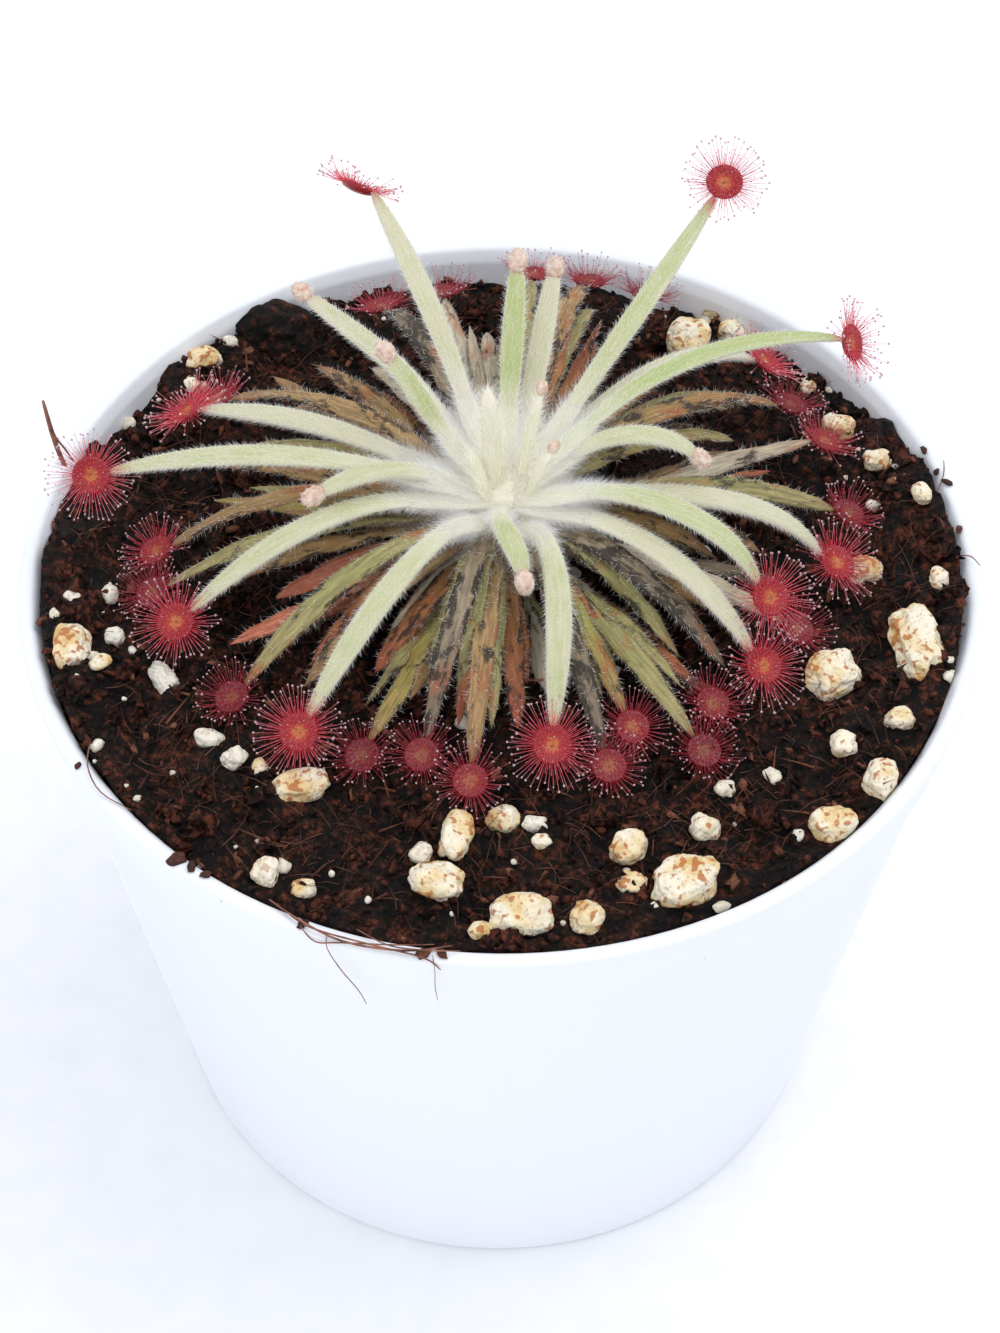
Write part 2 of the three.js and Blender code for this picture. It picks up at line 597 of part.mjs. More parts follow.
/** A stone in the bed: a rough lump with its lower part sunk in. */
function stoneGeometry({ x, y, long, broad, turn }, i) {
  const stone = new THREE.IcosahedronGeometry(0.5, 0)
    .rotateX(radians(i * SOIL.stoneRoll))
    .scale(long, broad, broad * SOIL.stoneHeight)
    .rotateZ(radians(turn));
  return stone.translate(x, y, bedHeight(x, y) + broad * SOIL.stoneRise);
}

function makeSoil() {
  const bottom = POT.footHeight + POT.floor + CLEARANCE;
  const lowest = POT.height - SOIL.backDrop - SOIL.roughness * 1.5;
  const reach = insideRadius(lowest) - CLEARANCE;
  const profile = [
    [0, bottom],
    [insideRadius(bottom) - CLEARANCE - POT.edge, bottom],
    [insideRadius(bottom + POT.edge) - CLEARANCE, bottom + POT.edge],
    [reach, lowest],
  ];
  for (let ring = 0; ring <= SOIL.rings; ring++) {
    profile.push([reach * (1 - ring / (SOIL.rings + 1)), POT.height]);
  }
  profile.push([0, POT.height]);
  const bed = turned(profile, POT.sides);
  const spots = bed.attributes.position;
  for (let i = 0; i < spots.count; i++) {
    if (spots.getZ(i) === POT.height) spots.setZ(i, bedHeight(spots.getX(i), spots.getY(i)));
  }
  let body = solidOf(bed);
  for (const stone of STONES.map(stoneGeometry)) {
    body = body.add(solidOf(stone));
  }
  const overRim = POT.height * 1.2;
  const liner = [
    [0, 0],
    [insideRadius(0) - CLEARANCE, 0],
    [insideRadius(overRim) - CLEARANCE, overRim],
    [0, overRim],
  ];
  body = body.intersect(solidOf(turned(liner, POT.sides)));
  const hole = CROWN.stemRadius + CLEARANCE;
  body = body.subtract(drill(0, CROWN.y, CROWN.stemFoot - CLEARANCE, overRim, hole));
  return piece("soil", geometryOf(body), peat);
}

// ---------------------------------------------------------------- the whole plant
const leaves = listLeaves();
const sundew = new THREE.Group();
sundew.add(makePot(), makeSoil(), makeCrown());
for (const leaf of leaves) {
  if (leaf.kind === "open") sundew.add(makeOpenLeaf(leaf));
  if (leaf.kind === "bud") sundew.add(makeBudLeaf(leaf));
}
sundew.add(...makeOldLeaves(leaves), ...makeTraps(leaves));

export default sundew;
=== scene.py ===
import logging
import random
from collections.abc import Callable, Iterable, Sequence
from dataclasses import dataclass, field, replace
from enum import Enum
from functools import partial
from math import atan2, cos, degrees, hypot, pi, radians, sin, sqrt, tau

import bmesh
import bpy
from mathutils import Matrix, Vector, noise


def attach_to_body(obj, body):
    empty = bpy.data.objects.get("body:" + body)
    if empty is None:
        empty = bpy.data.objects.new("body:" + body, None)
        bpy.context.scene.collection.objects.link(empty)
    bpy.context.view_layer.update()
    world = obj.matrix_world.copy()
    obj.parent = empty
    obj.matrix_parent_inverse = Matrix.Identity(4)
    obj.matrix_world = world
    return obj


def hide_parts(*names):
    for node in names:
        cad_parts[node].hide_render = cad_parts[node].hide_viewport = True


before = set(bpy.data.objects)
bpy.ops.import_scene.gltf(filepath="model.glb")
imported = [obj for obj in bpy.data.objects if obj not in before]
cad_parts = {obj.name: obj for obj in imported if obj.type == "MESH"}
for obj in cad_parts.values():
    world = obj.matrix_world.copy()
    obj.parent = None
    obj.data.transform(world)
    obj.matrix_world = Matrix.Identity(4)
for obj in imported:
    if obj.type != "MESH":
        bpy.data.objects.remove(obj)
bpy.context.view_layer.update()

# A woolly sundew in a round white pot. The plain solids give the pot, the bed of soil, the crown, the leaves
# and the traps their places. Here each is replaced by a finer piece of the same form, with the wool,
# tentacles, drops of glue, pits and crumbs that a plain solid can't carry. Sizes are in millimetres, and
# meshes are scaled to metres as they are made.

MM = 0.001
BODY = "root"
UP = Vector((0, 0, 1))
log = logging.getLogger("sundew")

Piece = bpy.types.Object
Material = bpy.types.Material
Tree = bpy.types.NodeTree
Node = bpy.types.Node
Adder = Callable[..., Node]
Numbers = tuple[float, ...]
Shell = tuple[list[Vector], list[tuple]]  # the points and the faces of a closed skin


# -------- the plant's plan, as in the solids
class Bloom(Enum):
    """How green a young leaf is under its wool: 0 is silver, 1 is plain green."""

    SILVER = 0.12
    PALE = 0.34
    FRESH = 0.56
    GREEN = 0.86
    CHALK = 0.0


class Withering(Enum):
    """Colours of an old leaf: its base, its middle, its tip, and how sooty it is."""

    TAN = ("#bd9f74", "#a88758", "#987650", 0.5)
    OLIVE = ("#b7a97a", "#94905a", "#9d8e60", 0.42)
    YELLOW = ("#bba878", "#a39a4e", "#9b7e4c", 0.5)
    SALMON = ("#bf9a78", "#d08468", "#bd6c52", 0.25)
    RUSSET = ("#bb9568", "#ab7347", "#995036", 0.55)
    SOOTY = ("#b5a184", "#8f7f68", "#7d6b58", 0.78)
    ASHEN = ("#d4cab6", "#c9bea8", "#b8a88e", 0.35)


@dataclass(frozen=True)
class Leaf:
    """One leaf: degrees round the crown, and millimetres from the crown's axis and from the ground.

    azimuth, reach and tip place the end of the stalk; attach is where it leaves the crown; launch, droop
    and sweep bend it; faces and tilt turn its trap; dry leaves have lost their trap; slim is its breadth
    under its wool, as a share of its solid's.
    """

    azimuth: float
    reach: float
    tip: float
    look: Bloom | Withering
    attach: float = 0.0
    launch: float = 0.0
    droop: float = 0.0
    sweep: float = 0.0
    faces: float = 0.0
    tilt: float = 22.0
    dry: bool = False
    slim: float = 0.88


OPEN_LEAVES = (
    Leaf(181, 35.5, 78, Bloom.PALE, 76.3, 30, 20, -4, 280, 44),
    Leaf(116, 28, 88.5, Bloom.SILVER, 76.6, 40, -16, 2, 64, 50, slim=0.8),
    Leaf(52, 31.5, 88.8, Bloom.FRESH, 76.6, 34, -22, 4, 270, 25, slim=0.78),
    Leaf(22, 33.4, 83, Bloom.GREEN, 76.4, 52, 22, -6, -20, 60, slim=0.72),
    Leaf(-24, 25.2, 75, Bloom.FRESH, 76.6, 34, 62, -6, -60, 35),
    Leaf(-34, 27, 71.2, Bloom.CHALK, 75.4, 26, 50, -4, -50, 34),
    Leaf(-79, 25, 72, Bloom.PALE, 76.4, 26, 40, -16, -85, 32),
    Leaf(-125, 29, 72, Bloom.PALE, 76.4, 30, 38, -2, -95, 32),
    Leaf(-157, 30.2, 72, Bloom.PALE, 75.6, 34, 38, 2, -110, 34),
    Leaf(160, 30, 75, Bloom.CHALK, 75.4, 24, 22, -4, 160, 30),
    Leaf(40, 31, 73, Bloom.CHALK, 75.4, 24, 44, -4, 20, 34),
    Leaf(-6, 29.5, 70.8, Bloom.CHALK, 75.4, 12, 60, 0, -30, 26),
)
BUD_LEAVES = (
    Leaf(133, 27.4, 80.4, Bloom.SILVER, 76.4, 34, -2, 2),
    Leaf(86, 16.5, 87.6, Bloom.GREEN, 77.4, 52, -40, 0),
    Leaf(77, 20.5, 83.6, Bloom.CHALK, 76, 32, -14, 3),
    Leaf(2, 17.5, 79.8, Bloom.PALE, 77.2, 50, 44, -14),
    Leaf(-82, 13.6, 79, Bloom.FRESH, 78, 26, 50, 10),
    Leaf(-164, 17, 79.8, Bloom.PALE, 77.8, 34, 22, 6),
    Leaf(149, 12, 86, Bloom.FRESH, 78.4, 44, -44, 0),
)
OLD_LEAVES = tuple(
    Leaf(*place, look=Withering[look], dry=dry)
    for *place, look, dry in (
        (-176, 30.5, 69.8, "TAN", False), (-167, 31.2, 69.8, "OLIVE", False),
        (-159, 22, 69, "SALMON", True), (-150, 28, 69.6, "SALMON", True),
        (-141, 29.2, 69.4, "OLIVE", False), (-133, 25.5, 69.4, "TAN", True), (-124, 20, 69, "RUSSET", True),
        (-115, 26.8, 69.2, "YELLOW", False), (-105, 24.8, 69.2, "SOOTY", False),
        (-95, 27, 69.4, "TAN", False), (-86, 23, 69.2, "RUSSET", True), (-77, 19, 69, "ASHEN", True),
        (-70, 26.6, 69.2, "SOOTY", False), (-62, 23.4, 69.2, "YELLOW", False),
        (-54, 29, 69.2, "OLIVE", False), (-46, 25.6, 69.4, "RUSSET", False),
        (-38, 25.6, 69.4, "SOOTY", True), (-30, 21, 69.2, "TAN", True), (-22, 27.4, 69.6, "ASHEN", False),
        (-13, 26, 69.6, "SOOTY", True), (-4, 24, 69.2, "TAN", True), (6, 31, 69.8, "OLIVE", False),
        (14, 24, 69.6, "TAN", True), (22, 31.4, 70, "ASHEN", False), (32, 31, 70.2, "TAN", False),
        (41, 27, 70.2, "OLIVE", True), (52, 26, 70.6, "TAN", True), (65, 31.4, 72, "OLIVE", False),
        (75, 30.4, 73.2, "TAN", False), (85, 30, 73.4, "OLIVE", False), (94, 24, 72, "ASHEN", True),
        (102, 28, 73, "ASHEN", False), (113, 29.4, 71.8, "SOOTY", False), (122, 24, 70.6, "ASHEN", True),
        (131, 27.6, 70.4, "TAN", True), (139, 29.4, 70.2, "TAN", True), (148, 31, 70, "TAN", False),
        (157, 26, 70, "OLIVE", True), (165, 29, 70.4, "TAN", True), (174, 27, 70.4, "YELLOW", True),
    )
)


@dataclass(frozen=True)
class Tier:
    """A ring of old leaves: its height on the stem, and how its leaves leave and land."""

    attach: float
    launch: float
    droop: float


TIERS = (Tier(73.35, 30, 42), Tier(72.0, 20, 30), Tier(70.65, 10, 18), Tier(69.3, 4, 4))


@dataclass(frozen=True)
class Stone:
    """A stone in the bed.

    x and y are its middle, then come its length, its breadth and the turn of its long side in degrees. white
    says how much of it is clean perlite.
    """

    x: float
    y: float
    long: float
    broad: float
    turn: float
    white: float = 0.0


STONES = tuple(
    Stone(*plan)
    for plan in (
        (-39, -10.5, 5.6, 3.6, 90), (-35.4, -8.5, 2.1, 1.9, 20, 0.9), (-30.6, -13, 4.4, 2.4, 125, 0.95),
        (-26, -20, 3, 2, 165, 0.8), (-23.5, -22.5, 2.4, 2.1, 40, 0.7), (-17.6, -25.5, 6, 3.2, 8),
        (-20, -35, 2.7, 2.6, 0, 0.4), (-3.6, -30.8, 5.3, 3.1, 80), (-5.2, -35.8, 5.6, 3.9, -15),
        (0.4, -28.6, 3.1, 2.8, 0), (2, -39.5, 5.8, 4.2, 10), (7.7, -39, 3.4, 3, 60),
        (11.3, -31.6, 3.6, 3.1, 60), (11.6, -35.5, 3, 2.6, 0), (16.3, -35.4, 6.6, 4.9, 28),
        (18, -29.3, 3, 2.7, 0), (30.2, -12, 5.7, 4.3, 35), (30.7, -20.4, 2.7, 2.4, 0),
        (33.8, -24, 4.1, 3.2, 70), (29.3, -29, 4.6, 3.2, 20), (36, -17, 2.8, 2.3, 0),
        (38, -8.5, 8.4, 4.4, 105), (34, 0.8, 3.6, 3.3, 0), (32.8, 20.7, 3.5, 3.2, 0),
        (36, 15.3, 2.8, 2.4, 0), (18.4, 33.5, 5.8, 4.4, 80), (23, 35, 3.1, 2.6, 0),
        (-29.8, 28.2, 3.6, 2.8, 20), (-36.3, -12.6, 2.2, 1.7, 30), (-36.2, -3.7, 2.1, 1.6, 80, 0.9),
        (-39.4, -5, 2, 1.5, 140, 0.8), (-21.2, -23.6, 2, 1.6, 100), (-16.8, -36.5, 2.6, 1.9, 10),
        (-6.6, -32.6, 2.4, 2, 60, 0.7), (3.2, -29.4, 2.4, 1.7, 170, 0.8), (3.8, -31.4, 1.9, 1.5, 20),
        (-1.4, -41, 2.3, 1.9, 0), (20, -25, 2, 1.7, 40, 0.6), (24.3, -23.6, 2.1, 1.6, 120, 0.8),
        (40.6, -1.3, 2.6, 1.9, 95), (21.6, 38, 2.4, 2, 15), (30.4, 27.6, 2.3, 1.8, 70),
        (-30.4, 24.6, 2.4, 1.8, 150), (39.8, 9.6, 2.6, 2, 110),
    )
)
PEAT_CLOD = Stone(-23, 34, 9, 6.5, -25)


# -------- small helpers
def lerp(start: float, end: float, share: float) -> float:
    """The value a share of the way from start to end."""
    return start + (end - start) * share


def ease(value: float, low: float, high: float) -> float:
    """A smooth step from 0 at low to 1 at high."""
    share = min(1.0, max(0.0, (value - low) / (high - low)))
    return share * share * (3 - 2 * share)


def linear(colour: str) -> tuple[float, ...]:
    """The linear RGBA of an sRGB hex colour."""
    parts = [int(colour[i : i + 2], 16) / 255 for i in (1, 3, 5)]
    return (*(c / 12.92 if c <= 0.04045 else ((c + 0.055) / 1.055) ** 2.4 for c in parts), 1.0)


def outward(azimuth: float) -> Vector:
    """The unit vector at an azimuth, in degrees, in the ground plane."""
    return Vector((cos(radians(azimuth)), sin(radians(azimuth)), 0))


def climbing(azimuth: float, climb: float) -> Vector:
    """The unit vector at an azimuth that climbs from the ground plane, both in degrees."""
    return outward(azimuth) * cos(radians(climb)) + UP * sin(radians(climb))


def feed(tree: Tree, node: Node, inputs: dict | tuple) -> None:
    """Sets and links a node's inputs.

    Args:
        tree: the tree that the node is in.
        node: the node.
        inputs: for each input, by name or number or in turn from the first, a value, a hex colour, or the
            node or output that feeds it.
    """
    for key, value in inputs.items() if isinstance(inputs, dict) else enumerate(inputs):
        if isinstance(value, Node):
            value = next(output for output in value.outputs if output.enabled)
        if isinstance(value, bpy.types.NodeSocket):
            tree.links.new(value, node.inputs[key])
        else:
            node.inputs[key].default_value = linear(value) if str(value).startswith("#") else value


def add_node(
    tree: Tree,
    kind: str,
    inputs: dict | tuple = (),
    stops: Sequence[tuple[float, str]] = (),
    **settings: object,
) -> Node:
    """Adds a node with its settings and links.

    Args:
        tree: the node tree that it goes into.
        kind: the node's type name.
        inputs: what feeds its inputs, as feed takes it.
        stops: a colour ramp's positions and hex colours.
        **settings: the node's own properties.

    Returns:
        The new node.
    """
    node = tree.nodes.new(kind)
    for name, value in settings.items():
        setattr(node, name, value)
    if stops:
        ramp = node.color_ramp.elements
        while len(ramp) < len(stops):
            ramp.new(1.0)
        for element, (position, colour) in zip(ramp, stops):
            element.position, element.color = position, linear(colour)
    feed(tree, node, inputs)
    return node


def add_object(name: str, data: bpy.types.ID) -> Piece:
    """Adds an object with its data to the scene.

    Args:
        name: the object's name.
        data: its mesh, lamp or camera.

    Returns:
        The object.
    """
    thing = bpy.data.objects.new(name, data)
    bpy.context.scene.collection.objects.link(thing)
    return thing


def make_piece(name: str, vertices: list[Vector], faces: list[tuple]) -> Piece:
    """Makes a mesh object at the origin from points in millimetres.

    Args:
        name: the piece's name.
        vertices: its points, in millimetres.
        faces: the numbers of each face's points.

    Returns:
        The object, smooth shaded, with its faces pointing outwards.
    """
    mesh = bpy.data.meshes.new(name)
    mesh.from_pydata([v * MM for v in vertices], [], faces)
    work = bmesh.new()
    work.from_mesh(mesh)
    bmesh.ops.recalc_face_normals(work, faces=work.faces)
    work.to_mesh(mesh)
    work.free()
    mesh.shade_smooth()
    return add_object(name, mesh)


def ring_faces(rings: int, sides: int, poles: bool) -> list[tuple]:
    """The faces of a closed skin over rings of points that follow one another.

    Args:
        rings: how many rings there are.
        sides: how many points a ring has.
        poles: whether one point comes before the rings and one after them; without, both ends are flat.

    Returns:
        The numbers of each face's points.
    """
    first, last = int(poles), int(poles) + (rings - 1) * sides
    ring = [(k, (k + 1) % sides) for k in range(sides)]
    lows = range(first, last, sides)
    faces = [(low + k, low + j, low + sides + j, low + sides + k) for low in lows for k, j in ring]
    if poles:
        faces += [(0, 1 + j, 1 + k) for k, j in ring]
        return faces + [(last + sides, last + k, last + j) for k, j in ring]
    return [*faces, tuple(range(sides))[::-1], tuple(range(last, last + sides))]


def turned(name: str, outline: Sequence[tuple[float, float]], sides: int, middle: Vector) -> Piece:
    """Turns an outline round an upright axis.

    Args:
        name: the piece's name.
        outline: radii and heights; the first and the last lie on the axis.
        sides: how many sides the piece has.
        middle: a point on the axis, from which the heights are measured.

    Returns:
        The piece.
    """
    vertices = [middle + UP * outline[0][1]]
    for radius, height in outline[1:-1]:
        vertices += [middle + outward(360 * k / sides) * radius + UP * height for k in range(sides)]
    vertices.append(middle + UP * outline[-1][1])
    return make_piece(name, vertices, ring_faces(len(outline) - 2, sides, True))


def ball(levels: int) -> Shell:
    """The points, on a unit sphere, and the faces of an icosphere.

    Args:
        levels: how finely it is divided.

    Returns:
        The points, and the numbers of each face's points.
    """
    work = bmesh.new()
    bmesh.ops.create_icosphere(work, subdivisions=levels, radius=1.0)
    points = [v.co.normalized() for v in work.verts]
    faces = [tuple(v.index for v in face.verts) for face in work.faces]
    work.free()
    return points, faces


def gather(name: str, shells: Iterable[Shell]) -> Piece:
    """Makes one piece of several shells, each given by its points and its faces.

    Args:
        name: the piece's name.
        shells: the points and the faces of each.

    Returns:
        The piece.
    """
    vertices, faces = [], []
    for points, sides in shells:
        faces += [tuple(len(vertices) + i for i in side) for side in sides]
        vertices += points
    return make_piece(name, vertices, faces)


def mark(piece: Piece, **marks: object) -> None:
    """Stores values for the points of a piece.

    Args:
        piece: the piece.
        **marks: under each name one value for all points, or a list: numbers, vectors or RGBA colours.
    """
    for name, values in marks.items():
        values = values if isinstance(values, list) else [values] * len(piece.data.vertices)
        parts = 1 if isinstance(values[0], (int, float)) else len(values[0])
        kind, key = {1: ("FLOAT", "value"), 3: ("FLOAT_VECTOR", "vector"), 4: ("FLOAT_COLOR", "color")}[parts]
        layer = piece.data.attributes.get(name) or piece.data.attributes.new(name, kind, "POINT")
        layer.data.foreach_set(key, values if parts == 1 else [part for value in values for part in value])


def read_marks(piece: Piece, name: str) -> list[float]:
    """The numbers that a piece's points carry under a name."""
    return [point.value for point in piece.data.attributes[name].data]


def uncover(piece: Piece, keeps: Callable[[Vector], bool]) -> None:
    """Takes the cover off the points of a piece for which keeps, given the point in metres, says no."""
    covers = zip(piece.data.vertices, read_marks(piece, "cover"))
    mark(piece, cover=[cover * keeps(vertex.co) for vertex, cover in covers])


def points_of(piece: Piece) -> list[Vector]:
    """The points of a piece, in millimetres."""
    return [vertex.co / MM for vertex in piece.data.vertices]


def join(name: str, parts: list[Piece]) -> Piece:
    """Joins meshes into the first one.

    Args:
        name: the joined piece's name.
        parts: the objects to join.

    Returns:
        The joined piece.
    """
    with bpy.context.temp_override(active_object=parts[0], selected_editable_objects=parts):
        bpy.ops.object.join()
    parts[0].name = parts[0].data.name = name
    return parts[0]


def keep_used_slots(mesh: bpy.types.Mesh) -> None:
    """Drops the material slots that no face uses.

    Args:
        mesh: the mesh.
    """
    used = sorted({face.material_index for face in mesh.polygons})
    materials = [mesh.materials[i] for i in used]
    numbers = [used.index(face.material_index) for face in mesh.polygons]
    mesh.materials.clear()
    for material in materials:
        mesh.materials.append(material)
    mesh.polygons.foreach_set("material_index", numbers)


def drop_faces(piece: Piece, material: Material) -> None:
    """Deletes the faces of one material from a piece, and its slot.

    Args:
        piece: the piece.
        material: the material.
    """
    number = piece.data.materials.find(material.name)
    work = bmesh.new()
    work.from_mesh(piece.data)
    gone = [face for face in work.faces if face.material_index == number]
    bmesh.ops.delete(work, geom=gone, context="FACES")
    work.to_mesh(piece.data)
    work.free()
    keep_used_slots(piece.data)


def settle(piece: Piece, slot: str, *nodes: str) -> None:
    """Rides a finished piece on the body, and reports it.

    Args:
        piece: the piece.
        slot: its material slot; not used.
        *nodes: the solids that it stands for.
    """
    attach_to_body(piece, BODY)
    if nodes:
        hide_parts(*nodes)
    piece.data.calc_loop_triangles()
    count = len(piece.data.loop_triangles)
    log.info("%s: %d triangles, for %s", piece.name, count, ", ".join(nodes) or "no node")


# -------- finishes
MIX_FACTOR, MIX_A, MIX_B = 0, 6, 7  # inputs of a Mix node set to colour
RANDOM_LOW, RANDOM_HIGH, RANDOM_SEED = 2, 3, 8  # inputs of a Random Value node for numbers
COORDS, ATTRIBUTE = "ShaderNodeTexCoord", "ShaderNodeAttribute"
NOISE, CELLS = "ShaderNodeTexNoise", "ShaderNodeTexVoronoi"
MIX, RAMP, BUMP = "ShaderNodeMix", "ShaderNodeValToRGB", "ShaderNodeBump"
MATH, VECTOR_MATH, MAP_RANGE = "ShaderNodeMath", "ShaderNodeVectorMath", "ShaderNodeMapRange"
COMBINE, SEPARATE, RANDOM = "ShaderNodeCombineXYZ", "ShaderNodeSeparateXYZ", "FunctionNodeRandomValue"
ALIGN, EULER = "FunctionNodeAlignRotationToVector", "FunctionNodeEulerToRotation"
MARKS, STORE = "GeometryNodeInputNamedAttribute", "GeometryNodeStoreNamedAttribute"
SCATTER, INSTANCES = "GeometryNodeDistributePointsOnFaces", "GeometryNodeInstanceOnPoints"
REALIZE, MOVE, COAT = "GeometryNodeRealizeInstances", "GeometryNodeSetPosition", "GeometryNodeSetMaterial"
CONE, ICOSPHERE = "GeometryNodeMeshCone", "GeometryNodeMeshIcoSphere"


@dataclass(frozen=True)
class Finish:
    """What every finish has: its material's name and typical gloss."""

    name: str
    roughness: float
    ior: float = field(default=1.5, kw_only=True)

    def paint(self, add: Adder) -> dict:
        """Adds the finish's nodes, and returns what feeds its shader and the films over its colour."""
        return {}

    def material(self) -> Material:
        """Makes the finish's material, with a Principled shader.

        Returns:
            The new material.
        """
        material = bpy.data.materials.new(self.name)
        material.use_nodes = True
        tree = material.node_tree
        add = partial(add_node, tree)
        inputs = {"Roughness": self.roughness, "IOR": self.ior} | self.paint(add)
        for cover, film in inputs.pop("Films", ()):
            laid = {MIX_FACTOR: cover, MIX_A: inputs["Base Color"], MIX_B: film}
            inputs["Base Color"] = add(MIX, laid, data_type="RGBA")
        feed(tree, tree.nodes["Principled BSDF"], inputs)
        return material


@dataclass(frozen=True)
class MouldedPolypropylene(Finish):
    """White pot plastic, satin from the mould, with a trace of peat dust between two heights."""

    colour: str = "#f1f4fb"
    dust: str = "#8d7b6c"
    dust_from_mm: float = 58.0
    dust_to_mm: float = 69.0
    speck_mm: float = 1.1
    orange_peel_mm: float = 1.6

    def paint(self, add: Adder) -> dict:
        """A cool white with soft highlights; specks of dust thin out below the rim.

        Args:
            add: adds a node.

        Returns:
            The shader's inputs.
        """
        place = add(COORDS).outputs["Object"]
        specks = add(NOISE, {"Vector": place, "Scale": 1 / (self.speck_mm * MM), "Detail": 3.0})
        height = add(SEPARATE, (place,)).outputs["Z"]
        near_rim = add(MAP_RANGE, (height, self.dust_from_mm * MM, self.dust_to_mm * MM, 0.0, 0.06))
        dusty = add(MATH, (specks, near_rim), operation="ADD")
        mask = add(MAP_RANGE, (dusty, 0.77, 0.83, 0.0, 0.6))
        peel = add(NOISE, {"Vector": place, "Scale": 1 / (self.orange_peel_mm * MM)})
        bump = add(BUMP, {"Height": peel, "Strength": 0.04, "Distance": 0.0004})
        glow = {"Subsurface Weight": 0.12, "Subsurface Radius": (0.002, 0.002, 0.0022)}
        return {"Base Color": self.colour, "Films": ((mask, self.dust),), "Normal": bump} | glow


@dataclass(frozen=True)
class DampPeat(Finish):
    """Damp sphagnum peat: brown crumbs with redder bits of bark, and near black painted shade in its pores
    and between its crumbs.
    """

    # the pore colour is painted shade between the crumbs; the lit brown is a painted highlight on their
    # middles
    pore: str = "#060303"
    crumb: str = "#25140f"
    lit: str = "#3f2116"
    red: str = "#743c29"
    grain_mm: float = 0.5
    crumb_mm: float = 0.95

    def paint(self, add: Adder) -> dict:
        """Crumbly brown, matt but for a few damp glints; each crumb has its own tone and painted shade at its
        edge.

        Args:
            add: adds a node.

        Returns:
            The shader's inputs.
        """
        place = add(COORDS).outputs["Object"]
        tone = add(ATTRIBUTE, attribute_name="tone").outputs["Fac"]
        fine = {"Scale": 1 / (self.grain_mm * MM), "Detail": 5.0, "Roughness": 0.7, "Distortion": 0.6}
        grain = add(NOISE, {"Vector": place} | fine)
        drift = {0: grain.outputs["Color"], "Scale": 0.5 * self.crumb_mm * MM}
        wander = add(VECTOR_MATH, drift, operation="SCALE")
        warped = add(VECTOR_MATH, (place, wander), operation="ADD")
        crumbs = add(CELLS, {"Vector": warped, "Scale": 1 / (self.crumb_mm * MM), "Detail": 1.0})
        own = add(SEPARATE, (crumbs.outputs["Color"],))
        shade = add(MATH, (tone, 0.3, grain), operation="MULTIPLY_ADD")
        shade = add(MATH, (own, 0.3, shade), operation="MULTIPLY_ADD")
        # painted shade: each crumb darkens towards its edge, to near black between crumbs, and its lighter
        # middle reaching the lit brown is painted highlight
        edge = add(MATH, (crumbs, -0.34, shade), operation="MULTIPLY_ADD")
        shades = ((0.42, self.pore), (0.58, self.crumb), (0.72, self.lit), (0.88, self.red))
        relief = add(MATH, (crumbs, -1.1, grain), operation="MULTIPLY_ADD")
        return {
            "Base Color": add(RAMP, {"Fac": edge}, shades),
            "Roughness": add(MAP_RANGE, (grain, 0.35, 0.7, 0.5, 0.95)),
            "Normal": add(BUMP, {"Height": relief, "Strength": 1.0, "Distance": 0.0006}),
        }


@dataclass(frozen=True)
class PineBark(Finish):
    """Composted pine bark: reddish brown flakes with a fibrous break."""

    dark: str = "#22110b"
    red: str = "#54291a"
    pale: str = "#7d4c34"
    fibre_mm: float = 0.35

    def paint(self, add: Adder) -> dict:
        """Warm brown that varies from flake to flake, streaked along the fibres.

        Args:
            add: adds a node.

        Returns:
            The shader's inputs.
        """
        place = add(COORDS).outputs["Object"]
        tone = add(ATTRIBUTE, attribute_name="tone").outputs["Fac"]
        streak = add(NOISE, {"Vector": place, "Scale": 1 / (self.fibre_mm * MM), "Detail": 4.0})
        both = add(MATH, (tone, 0.5, streak), operation="MULTIPLY_ADD")
        colour = add(RAMP, {"Fac": both}, ((0.4, self.dark), (0.75, self.red), (1.0, self.pale)))
        bump = add(BUMP, {"Height": streak, "Strength": 0.5, "Distance": 0.0003})
        return {"Base Color": colour, "Normal": bump}


@dataclass(frozen=True)
class Pumice(Finish):
    """Volcanic glass foam: cream, full of pits, stained ochre and rust by the damp peat."""

    cream: str = "#f4ebd4"
    tan: str = "#edd8ab"
    ochre: str = "#dcb473"
    rust: str = "#b66a34"
    # the pit colour is painted shade in the pits
    pit: str = "#b08f5c"
    clean: str = "#f0ebdd"
    stain_mm: float = 3.0
    freckle_mm: float = 0.7
    pit_mm: float = 0.5

    def paint(self, add: Adder) -> dict:
        """Chalky cream with soft ochre patches, sparse rusty freckles, and painted shade in its pits.

        Args:
            add: adds a node.

        Returns:
            The shader's inputs.
        """
        place = add(COORDS).outputs["Object"]
        white = add(ATTRIBUTE, attribute_name="white").outputs["Fac"]
        wide = {"Vector": place, "Scale": 1 / (self.stain_mm * MM), "Detail": 5.0, "Roughness": 0.55}
        stain = add(NOISE, wide)
        freckles = add(NOISE, {"Vector": place, "Scale": 1 / (self.freckle_mm * MM), "Detail": 1.0})
        colour = add(RAMP, {"Fac": stain}, ((0.45, self.cream), (0.56, self.tan), (0.68, self.ochre)))
        thick = add(MATH, (stain, 0.35, freckles), operation="MULTIPLY_ADD")
        spots = add(MAP_RANGE, (thick, 0.745, 0.82, 0.0, 0.85))
        pits = add(CELLS, {"Vector": place, "Scale": 1 / (self.pit_mm * MM)})
        # painted shade: darker towards the middle of each pit, where the bump dents the surface
        deep = add(MAP_RANGE, (pits, 0.08, 0.3, 0.6, 0.0))
        films = ((spots, self.rust), (white, self.clean), (deep, self.pit))
        relief = add(MATH, (pits, freckles), operation="ADD")
        bump = add(BUMP, {"Height": relief, "Strength": 0.6, "Distance": 0.0003})
        return {"Base Color": colour, "Films": films, "Normal": bump}


